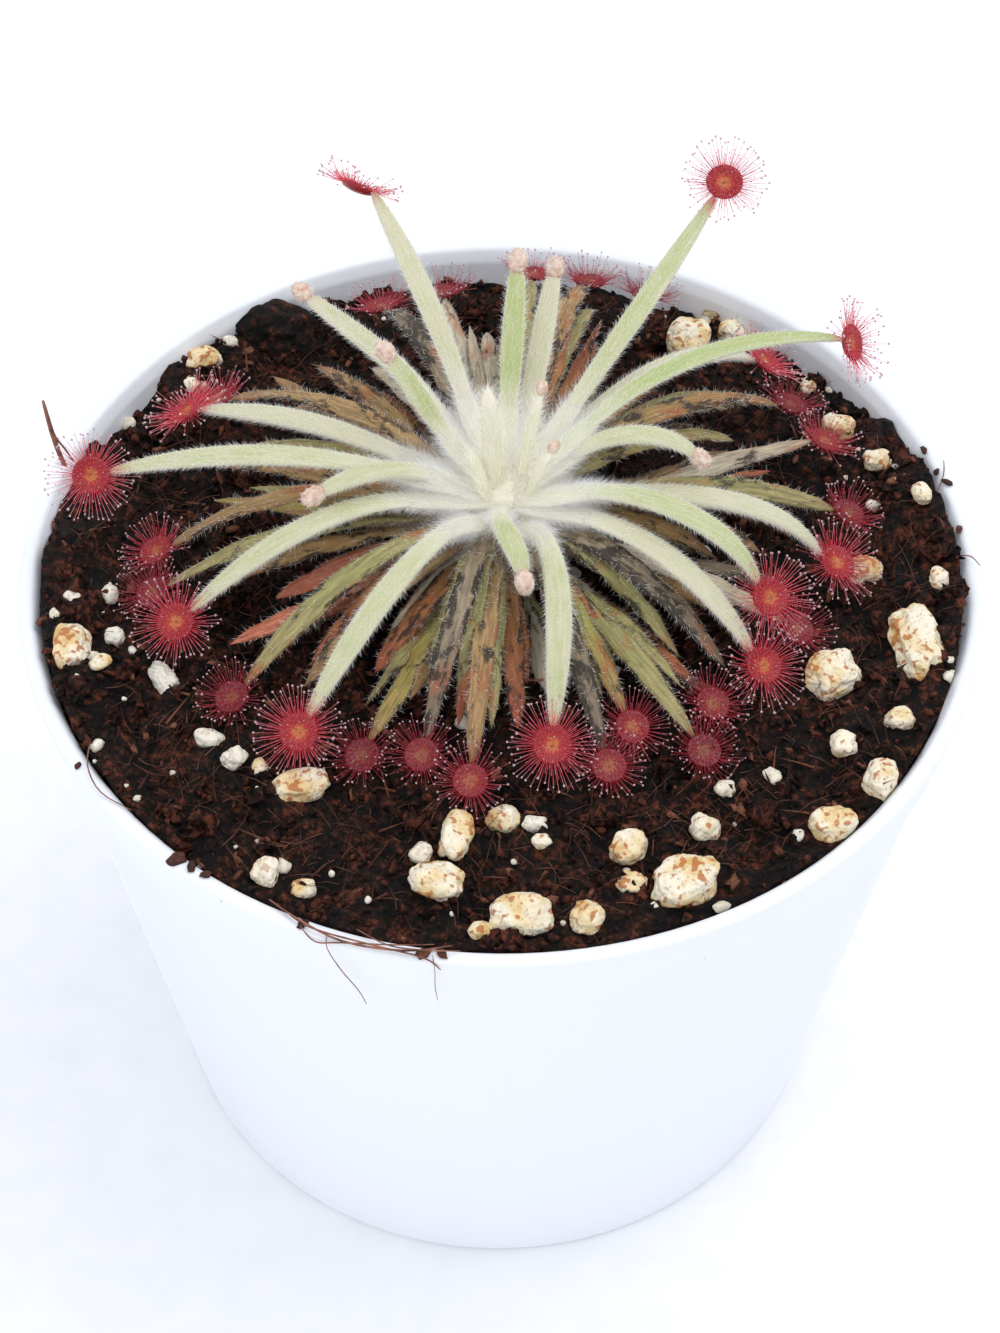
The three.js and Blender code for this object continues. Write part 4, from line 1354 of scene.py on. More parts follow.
    def stone(self, stone: Stone, number: int, pitted: float) -> Shell:
        """A rough lump with its lower part sunk in the bed.

        Args:
            stone: its place and size.
            number: makes its shape its own.
            pitted: how deep its pores are, as a share of its size.

        Returns:
            Its points and its faces.
        """
        ways, faces = ball(3 + (stone.broad > self.small_stone) + (stone.broad > self.large_stone))
        turn = Matrix.Rotation(radians(stone.turn), 3, "Z")
        middle = Vector((stone.x, stone.y, self.height(stone.x, stone.y) + stone.broad * self.stone_rise))
        size = Vector((stone.long, stone.broad, stone.broad * self.stone_height))
        vertices = []
        for way in ways:
            boxy = (abs(way.x) ** 3 + abs(way.y) ** 3 + abs(way.z) ** 3) ** (-1 / 3)
            lumps = noise.fractal(way * 1.1 + Vector((number * 3.7, 0, 0)), 1.2, 2.1, 4)
            pores = noise.voronoi(way * stone.broad * 0.9 + Vector((0, number * 5.1, 0)))[0][0]
            radius = self.stone_girth * lerp(1.0, boxy, self.stone_boxiness)
            radius *= 1 + self.stone_lumpiness * lumps
            radius -= pitted * max(0.0, self.pore_width - pores)
            vertices.append(middle + turn @ (way * radius * size))
        return vertices, faces

    def lumps(self, name: str, stones: Sequence[Stone], pitted: float) -> Piece:
        """Makes one piece of several stones.

        Args:
            name: the piece's name.
            stones: their places and sizes.
            pitted: how deep their pores are, as a share of their size.

        Returns:
            The piece, marked with how white each stone is.
        """
        shells = [self.stone(stone, number, pitted) for number, stone in enumerate(stones)]
        piece = gather(name, shells)
        self.confine(piece)
        whites = [stone.white for stone, (points, _) in zip(stones, shells) for _ in points]
        mark(piece, white=whites, tone=0.2)
        return piece

    def dress(self, litter: Tree, wool: Tree) -> None:
        """Builds the bed and everything on it, and gives each its finish.

        Args:
            litter: the tree that strews lumps.
            wool: the tree that grows fibres.
        """
        peat = DampPeat("damp sphagnum peat", 0.85, ior=1.33).material()
        bark = PineBark("composted pine bark", 0.8).material()
        pumice = Pumice("pitted pumice", 0.9).material()
        perlite = PlainFinish("expanded perlite", 0.85, "#f3efe4", "#d2c6ac").material()
        root = PlainFinish("dry moss fibre", 0.7, "#7d4e3a", "#3f2419", 2.0).material()
        bed = self.build_bed()
        kinds = ((PEAT_CLODS, peat), (PEAT_CRUMBS, peat), (BARK_FLAKES, bark), (PERLITE_GRAINS, perlite))
        for kind, material in kinds:
            lumps = add_object(kind.name, bed.data.copy())
            if kind is PERLITE_GRAINS:
                uncover(lumps, self.free_of_traps)
            kind.strew(lumps, litter, material)
            self.confine(lumps)
            settle(lumps, "peat_mix")
        strands = (("moss_fibres", MOSS, root, 21), ("bark_splinters", SPLINTERS, bark, 22))
        for name, fur, material, seed in strands:
            fibres = add_object(name, bed.data.copy())
            inner = (self.pot.rim_radius - fur.length) * MM
            uncover(fibres, lambda spot: spot.xy.length < inner)
            fur.grow(fibres, wool, (peat, material), seed)
            self.confine(fibres)
            drop_faces(fibres, peat)
            settle(fibres, "peat_mix")
        stones, clod = self.lumps("pumice_stones", STONES, 0.12), self.lumps("peat_clod", (PEAT_CLOD,), 0.1)
        for piece, material in ((stones, pumice), (clod, peat), (bed, peat)):
            piece.data.materials.append(material)
            settle(piece, "peat_mix", "soil")


def tube(points: list[Vector], width: float, sides: int = 6) -> Shell:
    """A thin closed tube along a smooth line.

    Args:
        points: the points that the line runs through, in millimetres.
        width: its width in the middle, in millimetres; it narrows to both ends.
        sides: how many sides it has.

    Returns:
        Its points and its faces.
    """
    line = []
    for i in range(len(points) - 1):
        before, here = points[max(0, i - 1)], points[i]
        there, after = points[i + 1], points[min(len(points) - 1, i + 2)]
        for step in range(4):
            t = step / 4
            bow = (there - before) * (t - 2 * t**2 + t**3) / 2 + (after - here) * (t**3 - t**2) / 2
            line.append(here * (1 - 3 * t**2 + 2 * t**3) + there * (3 * t**2 - 2 * t**3) + bow)
    line.append(points[-1])
    vertices, last = [], len(line) - 1
    for i, spot in enumerate(line):
        way = (line[min(last, i + 1)] - line[max(0, i - 1)]).normalized()
        side = way.cross(UP if abs(way.z) < 0.9 else Vector((1, 0, 0))).normalized()
        face = side.cross(way)
        radius = width / 2 * (0.3 + 0.7 * sin(pi * (i + 0.5) / (last + 1)) ** 0.5)
        angles = [tau * k / sides for k in range(sides)]
        vertices += [spot + side * (cos(a) * radius) + face * (sin(a) * radius) for a in angles]
    return vertices, ring_faces(len(line), sides, False)


@dataclass
class Spills:
    """Bits of peat and moss that lie on the pot's rim or hang over it, and a loose strand among the leaves.

    Flakes are given by azimuth, distance from the axis, length and turn. Strands come with their width, and
    run through points given by azimuth, distance from the axis and height above the rim.
    """

    pot: Pot
    flake_lift: float = 0.2
    flake_tilt: float = 0.25
    flake_thickness: float = 0.24
    flakes: tuple[Numbers, ...] = (
        (-129, 44.1, 2.4, 30), (-127, 43.9, 1.5, 80), (-125, 43.8, 1.3, 10), (-112, 44.2, 1.4, 50),
        (-98, 44.3, 1.8, 20), (-96, 44.1, 1.5, 120), (-147, 44.4, 1, 60), (7, 43.4, 1.2, 70),
        (15, 43.9, 1.5, 150), (17, 43.4, 1.1, 60), (21, 43.4, 1.3, 100),
    )
    strands: tuple[tuple[float, tuple[Numbers, ...]], ...] = (
        (0.22, ((-117, 43, 0), (-113, 44, 0.5), (-107, 44.8, 0.4), (-100, 44.5, 0.5), (-95, 43.2, 0.2))),
        (0.18, ((-115, 43.4, 0.1), (-111, 44.4, 0.4), (-104, 44.6, 0.6), (-98, 44.8, 0.3),
                (-96, 45.1, -0.8))),
        (0.15, ((-112, 44.6, 0.4), (-110, 45.1, -0.4), (-107, 44.9, 0.3), (-101, 44.2, 0.7),
                (-97, 43.4, 0.4))),
        (0.15, ((-106, 43.2, 0.3), (-102, 44.3, 0.6), (-98, 44.4, 0.8), (-94, 43.8, 0.4))),
        (0.1, ((-109, 44.4, 0.2), (-108.5, 45.3, -0.6), (-107, 45.2, -3.5), (-105.6, 44.4, -7),
                (-105, 43.7, -10))),
        (0.08, ((-97, 44.4, 0.2), (-96.6, 45.3, -0.8), (-96.6, 45.25, -3.2), (-96.4, 45, -5.6))),
        (0.5, ((163.5, 43.4, -1), (163.2, 44.2, 1), (162.6, 45, 3.6), (161.8, 45.8, 6.8))),
        (0.2, ((162, 43.3, -0.6), (162.2, 43.9, 1), (162.6, 44.6, 2.8), (162.4, 45.2, 4.8))),
        (0.14, ((-150, 42, 0), (-146, 43.8, 0.6), (-142, 44.3, 0.4), (-138, 43.2, 0))),
        (0.12, ((14, 42.6, -0.4), (16, 43.8, 0.4), (18, 44.4, 0.7))),
        (0.12, ((3, 42.6, -0.2), (2, 43.8, 0.6), (0, 44.5, 1))),
        (0.36, ((-90, 10, 3.6), (-89, 12, 3), (-86, 13.7, 1.8), (-81, 14.7, 1.2), (-75, 15.2, 1.4))),
    )

    def chip(self, number: int, plan: Numbers) -> Shell:
        """A flake that lies on the rim.

        Args:
            number: makes its shape its own.
            plan: its azimuth, distance from the axis, length and turn.

        Returns:
            Its points and its faces.
        """
        azimuth, distance, length, turn = plan
        middle = outward(azimuth) * distance + UP * (self.pot.height + self.flake_lift)
        spin = Matrix.Rotation(radians(turn), 3, "Z") @ Matrix.Rotation(self.flake_tilt, 3, "X")
        size = Vector((length * 0.4, length * 0.25, self.flake_thickness))
        offset = Vector((number * 2.3, 0, 0))
        ways, faces = ball(2)
        swells = [1 + 0.5 * noise.noise(way * 1.9 + offset) for way in ways]
        return [middle + spin @ (way * swell * size) for way, swell in zip(ways, swells)], faces

    def strand(self, width: float, route: tuple[Numbers, ...]) -> Shell:
        """A strand of a width along a route, whose points are given as the strands' are."""
        return tube([outward(a) * r + UP * (self.pot.height + z) for a, r, z in route], width)

    def dress(self) -> None:
        """Builds the spills and gives them their finishes."""
        fibre = PlainFinish("reddish moss fibre", 0.75, "#9a6654", "#5a3226", 1.2).material()
        strands = gather("rim_fibres", (self.strand(*plan) for plan in self.strands))
        chips = gather("rim_flakes", (self.chip(*flake) for flake in enumerate(self.flakes)))
        mark(chips, tone=[0.3 + 0.6 * noise.noise(v * 0.3) for v in points_of(chips)])
        for piece, material in ((strands, fibre), (chips, PineBark("flaked pine bark", 0.8).material())):
            piece.data.materials.append(material)
            settle(piece, "peat_mix")


# -------- leaves
@dataclass(frozen=True)
class StalkSize:
    """A leaf stalk's full width and thickness, and its width at the tip."""

    width: float
    thickness: float
    tip_width: float


OPEN_STALK = StalkSize(2.7, 1.3, 0.95)
BUD_STALK = StalkSize(2.4, 1.4, 1.5)
BASE_STALK = StalkSize(2.2, 1.2, 2.0)
SHOOT_STALK = StalkSize(1.8, 1.0, 0.9)
OLD_STALK = StalkSize(2.2, 0.85, 0.8)
SHRED_STALK = StalkSize(1.7, 0.6, 0.5)

LEAF_WOOL = Fur(16.0, 0.56, 0.036, 0.06, 0.72, 0.3)
TRAP_WOOL = Fur(16.0, 0.6, 0.045, 0.05, 0.3, 0.4)
OLD_WOOL = Fur(5.8, 1.05, 0.042, 0.12, 0.6, 0.75)
HEAD_WOOL = Fur(14, 2.8, 0.04, 0.6, 0.6, 0.5, 2)
SHOOT_WOOL = Fur(20, 3.0, 0.038, 0.4, 0.84, 0.32, 2)
VEIL_WOOL = Fur(5, 6.5, 0.05, 2.0, 0.6, 0.8, 4)


@dataclass(frozen=True)
class Midrib:
    """The cubic curve that a leaf follows from the crown to the end of its stalk."""

    points: tuple[Vector, Vector, Vector, Vector]

    def point(self, t: float) -> Vector:
        """The place a share along the curve; beyond its ends it goes straight on.

        Args:
            t: the share.

        Returns:
            The place.
        """
        if t < 0:
            return self.points[0] + self.slope(0) * t
        if t > 1:
            return self.points[3] + self.slope(1) * (t - 1)
        a, b, c, d = self.points
        s = 1 - t
        return a * s**3 + b * (3 * s * s * t) + c * (3 * s * t * t) + d * t**3

    def slope(self, t: float) -> Vector:
        """The curve's derivative a share along it."""
        (a, b, c, d), s = self.points, 1 - t
        return (b - a) * (3 * s * s) + (c - b) * (6 * s * t) + (d - c) * (3 * t * t)

    def tangent(self, t: float) -> Vector:
        """The curve's direction a share along it."""
        return self.slope(min(1.0, max(0.0, t))).normalized()


@dataclass
class Crown:
    """The plant's short stem and woolly head, and where leaves grow from it.

    Shoots are the youngest leaves, which stand in the head; each has its azimuth, its tip's distance from the
    axis and height, and how slim it is. Budding shoots have a small folded trap.
    """

    y: float = 3.0
    radius: float = 5.0
    neck: float = 74.2
    shoulder: float = 76.2
    dome: float = 5.0
    stem_radius: float = 2.3
    stem_foot: float = 59.0
    shoot_sink: float = 2.0
    shoot_foot: float = 0.4
    shoot_bow: float = 0.8
    root_gap: float = 0.65
    skirt_outer: float = 4.6
    skirt_inner: float = 2.6
    leaving_handle: float = 0.4
    arriving_handle: float = 0.36
    core_shoulder: float = 75.8
    core_top: float = 78.4
    core_radius: float = 4.4
    base_inside: float = 1.1
    base_joint: float = 0.16
    base_sink: float = 0.2
    base_lift: float = 0.3
    base_handles: tuple[float, float] = (2.0, 2.2)
    forward: float = 3.4
    upright: float = 87.0
    sides: int = 40
    shoots: tuple[Numbers, ...] = ((126, 2.4, 86.2, 1.0), (196, 3.0, 81.2, 0.7))
    budding_shoots: tuple[Numbers, ...] = ((40, 4.4, 85.2, 0.6), (352, 4.4, 81.2, 0.5))

    def from_axis(self, azimuth: float, distance: float, height: float) -> Vector:
        """The point at an azimuth and a distance from the crown's axis, at a height above the ground."""
        return outward(azimuth) * distance + Vector((0, self.y, height))

    def head_radius(self, height: float) -> float:
        """Radius of the woolly head at a height."""
        climb = min(1.0, max(0.0, (height - self.shoulder) / self.dome))
        return self.radius * sqrt(1 - climb**2)

    def midrib(self, leaf: Leaf, tier: Tier | None = None) -> Midrib:
        """The midrib of a leaf.

        Args:
            leaf: the leaf's plan.
            tier: for an old leaf, the ring that it grows in.

        Returns:
            Its curve, in millimetres.
        """
        plan = tier or leaf
        root_radius = self.skirt_outer - 1 if tier else self.head_radius(plan.attach) + self.root_gap
        root = self.from_axis(leaf.azimuth - leaf.sweep, root_radius, plan.attach)
        end = self.from_axis(leaf.azimuth, leaf.reach, leaf.tip)
        span = (end - root).length
        leaving = climbing(leaf.azimuth - leaf.sweep, plan.launch) * span * self.leaving_handle
        arriving = climbing(leaf.azimuth + leaf.sweep, -plan.droop) * span * self.arriving_handle
        return Midrib((root, root + leaving, end - arriving, end))

    def shoot(self, azimuth: float, out: float, tip: float) -> Midrib:
        """The straight midrib of a shoot.

        Args:
            azimuth: which way it leans.
            out: its tip's distance from the axis.
            tip: its tip's height.

        Returns:
            Its curve, in millimetres.
        """
        foot = self.from_axis(azimuth, out * self.shoot_foot, self.core_top - self.shoot_sink)
        foot.y -= self.forward
        end = self.from_axis(azimuth, out, tip)
        bow = UP * self.shoot_bow
        return Midrib((foot, foot.lerp(end, 1 / 3) + bow, foot.lerp(end, 2 / 3) + bow, end))

    def leaf_base(self, leaf: Leaf, rib: Midrib) -> Midrib:
        """The part of a young leaf that lies over the crown, from its heart out to the leaf's stalk.

        Args:
            leaf: the leaf's plan.
            rib: the stalk's midrib.

        Returns:
            The base's midrib.
        """
        before = 1.0 if leaf.tip > self.upright else 0.5 + (1 - sin(radians(leaf.azimuth))) / 4
        inner = outward(leaf.azimuth - leaf.sweep) * self.base_inside + Vector((0, -self.forward * before, 0))
        climb = sqrt(max(0.0, 1 - (inner.length / self.core_radius) ** 2))
        inner += Vector((0, self.y, lerp(self.core_shoulder, self.core_top, climb) - self.base_sink))
        outer, (leaving, arriving) = rib.point(self.base_joint), self.base_handles
        away = outward(leaf.azimuth - leaf.sweep) + UP * self.base_lift
        return Midrib((inner, inner + away * leaving, outer - rib.tangent(self.base_joint) * arriving, outer))

    def build_head(self) -> Piece:
        """The stem and the low core of its head, turned on the crown's axis.

        Returns:
            The piece, marked for its wool and its skin.
        """
        stem, core = self.stem_radius, self.core_radius
        outline = [(0.0, self.stem_foot), (stem, self.stem_foot + 1), (stem, self.neck)]
        outline += [(core * 0.85, self.neck + 0.2), (core, self.core_shoulder)]
        for turn in (pi / 12 * step for step in range(1, 6)):
            climb = (self.core_top - self.core_shoulder) * sin(turn)
            outline.append((core * cos(turn), self.core_shoulder + climb))
        outline.append((0.0, self.core_top))
        head = turned("crown_head", outline, self.sides, self.from_axis(0, 0, 0))
        middle, points = self.from_axis(0, 0, self.neck), points_of(head)
        mark(head, grain=[((v - middle).normalized() + UP * 0.4).normalized() for v in points], run=points)
        mark(head, cover=[ease(v.z, self.neck - 1, self.neck + 0.5) for v in points])
        mark(head, shag=1.0, tone=0.1, pale=1.0, rosy=0.0)
        return head


@dataclass
class Blade:
    """A leaf's stalk as a flattened, tapered tube along its midrib.

    Its tip is round over the last few of its steps. Ruffles come so often in a millimetre, twists so often
    in its length, and the grain turns out towards the edges.
    """

    size: StalkSize
    sides: int = 18
    steps: int = 40
    root_share: float = 0.62
    widest_point: float = 1.2
    fullness: float = 0.75
    tip_steps: float = 2.2
    ruffles: float = 0.45
    twists: float = 2.2
    grain_spread: float = 0.9
    ruffle: float = 0.0
    twist: float = 0.0
    slim: float = 1.0
    groove: float = 0.3

    def shape(self, along: float) -> tuple[float, float]:
        """The stalk's width and thickness.

        Args:
            along: the share along it.

        Returns:
            Both, in millimetres.
        """
        along = min(1.0, max(0.0, along))
        swell = sin(pi * along**self.widest_point) ** self.fullness if 0 < along < 1 else 0.0
        narrow = lerp(self.root_share * self.size.width, self.size.tip_width, along)
        width = lerp(narrow, self.size.width, swell)
        return width * self.slim, self.size.thickness * self.slim * lerp(self.root_share, 1.0, swell)

    def build(self, name: str, rib: Midrib, before: float, beyond: float, seed: int) -> Piece:
        """Builds the blade.

        Args:
            name: the piece's name.
            rib: the midrib.
            before: how far it starts behind the rib's root, in millimetres, inside the crown.
            beyond: how far it runs on past the rib's end, in millimetres, to its trap.
            seed: makes its ruffles its own.

        Returns:
            The piece, its points marked with grain, run, along and across.
        """
        length = (rib.points[3] - rib.points[0]).length * 1.1
        start, end = -before / rib.slope(0).length, 1 + beyond / rib.slope(1).length
        angles = [tau * k / self.sides for k in range(self.sides)]
        turns = [(cos(angle), sin(angle)) for angle in angles]
        vertices, marks = [], {"grain": [], "run": [], "along": [], "across": []}
        for i in range(self.steps + 1):
            t = lerp(start, end, i / self.steps)
            tangent = rib.tangent(t)
            side = tangent.cross(UP).normalized()
            face = side.cross(tangent)
            width, thickness = self.shape(t)
            tip_round = sin(pi / 2 * min(1.0, (self.steps - i + 0.25) / self.tip_steps))
            turn = self.twist * noise.noise(Vector((t * self.twists, seed * 3.1, 0)))
            cosine, sine = cos(turn), sin(turn)
            side, face = side * cosine + face * sine, face * cosine - side * sine
            for aside, up in turns:
                place = Vector((t * length * self.ruffles, aside * 2, seed + up))
                rough = 1 + self.ruffle * noise.noise(place)
                channel = 1 - self.groove * max(0.0, up) ** 3
                spot = rib.point(t) + side * (aside * width / 2 * tip_round * rough)
                vertices.append(spot + face * (up * thickness / 2 * tip_round * rough * channel))
                grain = (tangent + side * (self.grain_spread * aside**3)).normalized()
                run = Vector((t * length + seed * 9, aside * width / 2, up * thickness))
                for values, value in zip(marks.values(), (grain, run, t, abs(aside))):
                    values.append(value)
        piece = make_piece(name, vertices, ring_faces(self.steps + 1, self.sides, False))
        mark(piece, **marks)
        return piece


@dataclass
class YoungLeaves:
    """The living leaves: silvery stalks in a felt of wool, the youngest still with folded traps."""

    crown: Crown
    wool: Tree
    knob_length: float = 2.6
    knob_width: float = 1.9

    def leaf(self, name: str, leaf: Leaf, blade: Blade, beyond: float, seed: int) -> Piece:
        """A leaf's stalk with its base, marked with its colours and for its wool.

        Args:
            name: the piece's name.
            leaf: the leaf's plan.
            blade: how its stalk is shaped.
            beyond: how far it runs on past its midrib's end, in millimetres.
            seed: makes it its own.

        Returns:
            The piece.
        """
        rib = self.crown.midrib(leaf)
        stalk = blade.build(name, rib, 1.6, beyond, seed)
        base = Blade(BASE_STALK, steps=12, slim=0.95, root_share=0.3)
        base = base.build("base", self.crown.leaf_base(leaf, rib), 0.0, 0.6, seed)
        mark(base, along=[t * self.crown.base_joint for t in read_marks(base, "along")])
        piece = join(name, [stalk, base])
        along, across = read_marks(piece, "along"), read_marks(piece, "across")
        # the wool is thicker and longer near the root and along the edges, and thinner on a greener leaf
        near_root, thin = [1 - ease(t, 0.0, 0.4) for t in along], 1.0 - 0.55 * leaf.look.value
        mark(piece, cover=[thin + 0.4 * r + 0.6 * a**4 for r, a in zip(near_root, across)])
        mark(piece, shag=[1.0 + 3.2 * r * r + 0.4 * a**6 for r, a in zip(near_root, across)])
        mark(piece, pale=[min(1.0, 0.6 * r + 0.35 * a**6) for r, a in zip(near_root, across)])
        mark(piece, rosy=[0.7 * ease(t, 0.95, 1.02) for t in along], tone=leaf.look.value)
        return piece

    def knob(self, name: str, rib: Midrib, seed: int, size: float = 1.0) -> Piece:
        """The folded trap at a young leaf's end: a fuzzy pinkish bud, pebbled by its tentacles.

        Args:
            name: the piece's name.
            rib: the leaf's midrib.
            seed: makes its pebbles its own.
            size: its size, as a share of a full one's.

        Returns:
            The piece.
        """
        way = rib.tangent(1)
        middle = rib.point(1) + way * self.knob_length * 0.3 * size
        side = way.cross(UP).normalized()
        width = self.knob_width
        axes = Matrix((way * self.knob_length, side * width, side.cross(way) * width)).transposed()
        ways, faces = ball(4)
        pebbles = [noise.voronoi(out * 3.2 + Vector((seed, 0, 0)))[0][0] for out in ways]
        vertices = [middle + axes @ out * (0.5 * (1.04 - 0.24 * p) * size) for out, p in zip(ways, pebbles)]
        piece = make_piece(name, vertices, faces)
        mark(piece, grain=way, cover=0.6, shag=0.8)
        return piece

    def dress(self) -> None:
        """Builds every young leaf with its wool."""
        skin = LeafSkin("silvery leaf skin", 0.62).material()
        # the leaf wool glows a little, painted light that lifts the shade inside it
        hairs = PlantWool("white leaf wool", 0.75, glow=0.08).material()
        folded = PlainFinish("folded trap", 0.6, "#e6d6c4", "#cf9f8c").material()
        for i, leaf in enumerate(OPEN_LEAVES, 1):
            piece = self.leaf(f"silver_leaf_{i}", leaf, Blade(OPEN_STALK, slim=leaf.slim), 1.0, i)
            settle(LEAF_WOOL.grow(piece, self.wool, (skin, hairs), i), "young_leaf", f"open_leaf_{i}")
        for i, leaf in enumerate(BUD_LEAVES, 1):
            piece = self.leaf(f"folded_leaf_{i}", leaf, Blade(BUD_STALK, slim=leaf.slim), 0.2, 20 + i)
            LEAF_WOOL.grow(piece, self.wool, (skin, hairs), 20 + i)
            knob = self.knob(f"folded_trap_{i}", self.crown.midrib(leaf), i)
            TRAP_WOOL.grow(knob, self.wool, (folded, hairs), i)
            settle(join(f"folded_leaf_{i}", [piece, knob]), "young_leaf", f"bud_leaf_{i}")

    def dress_crown(self) -> None:
        """Builds the woolly head with the shoots that stand in it."""
        skin = LeafSkin("woolly crown skin", 0.7).material()
        # the crown wool glows more, painted light that lifts the grey shade among its dense hairs
        hairs = PlantWool("long crown wool", 0.75, colour="#fdfae6", shaded="#efe7c8", glow=0.13).material()
        head, parts, buds = self.crown.build_head(), [], []
        for i, (*plan, slim) in enumerate(self.crown.shoots + self.crown.budding_shoots):
            blade = Blade(SHOOT_STALK, sides=12, steps=14, slim=slim)
            shoot = blade.build(f"shoot_{i}", self.crown.shoot(*plan), 1.0, 0.4, 40 + i)
            along = read_marks(shoot, "along")
            mark(shoot, cover=[1.0 + ease(t, 0.75, 1.0) for t in along], tone=0.45, rosy=0.0)
            mark(shoot, shag=[lerp(1.0, 0.5, min(1.0, max(0.0, t))) for t in along])
            mark(shoot, pale=[0.55 + 0.3 * ease(t, 0.7, 1.0) for t in along])
            parts.append(shoot)
        shoots, veil = join("shoots", parts), add_object("veil", head.data.copy())
        for piece, fur, seed in ((head, HEAD_WOOL, 79), (shoots, SHOOT_WOOL, 79), (veil, VEIL_WOOL, 81)):
            fur.grow(piece, self.wool, (skin, hairs), seed)
        drop_faces(veil, skin)
        folded = PlainFinish("folding trap", 0.6, "#e6d6c4", "#cf9f8c").material()
        for i, (*plan, _) in enumerate(self.crown.budding_shoots):
            buds.append(self.knob(f"bud_{i}", self.crown.shoot(*plan), 30 + i, 0.6))
            buds[-1].data.materials.append(folded)
        settle(join("woolly_crown", [head, shoots, veil, *buds]), "leaf_wool", "crown")


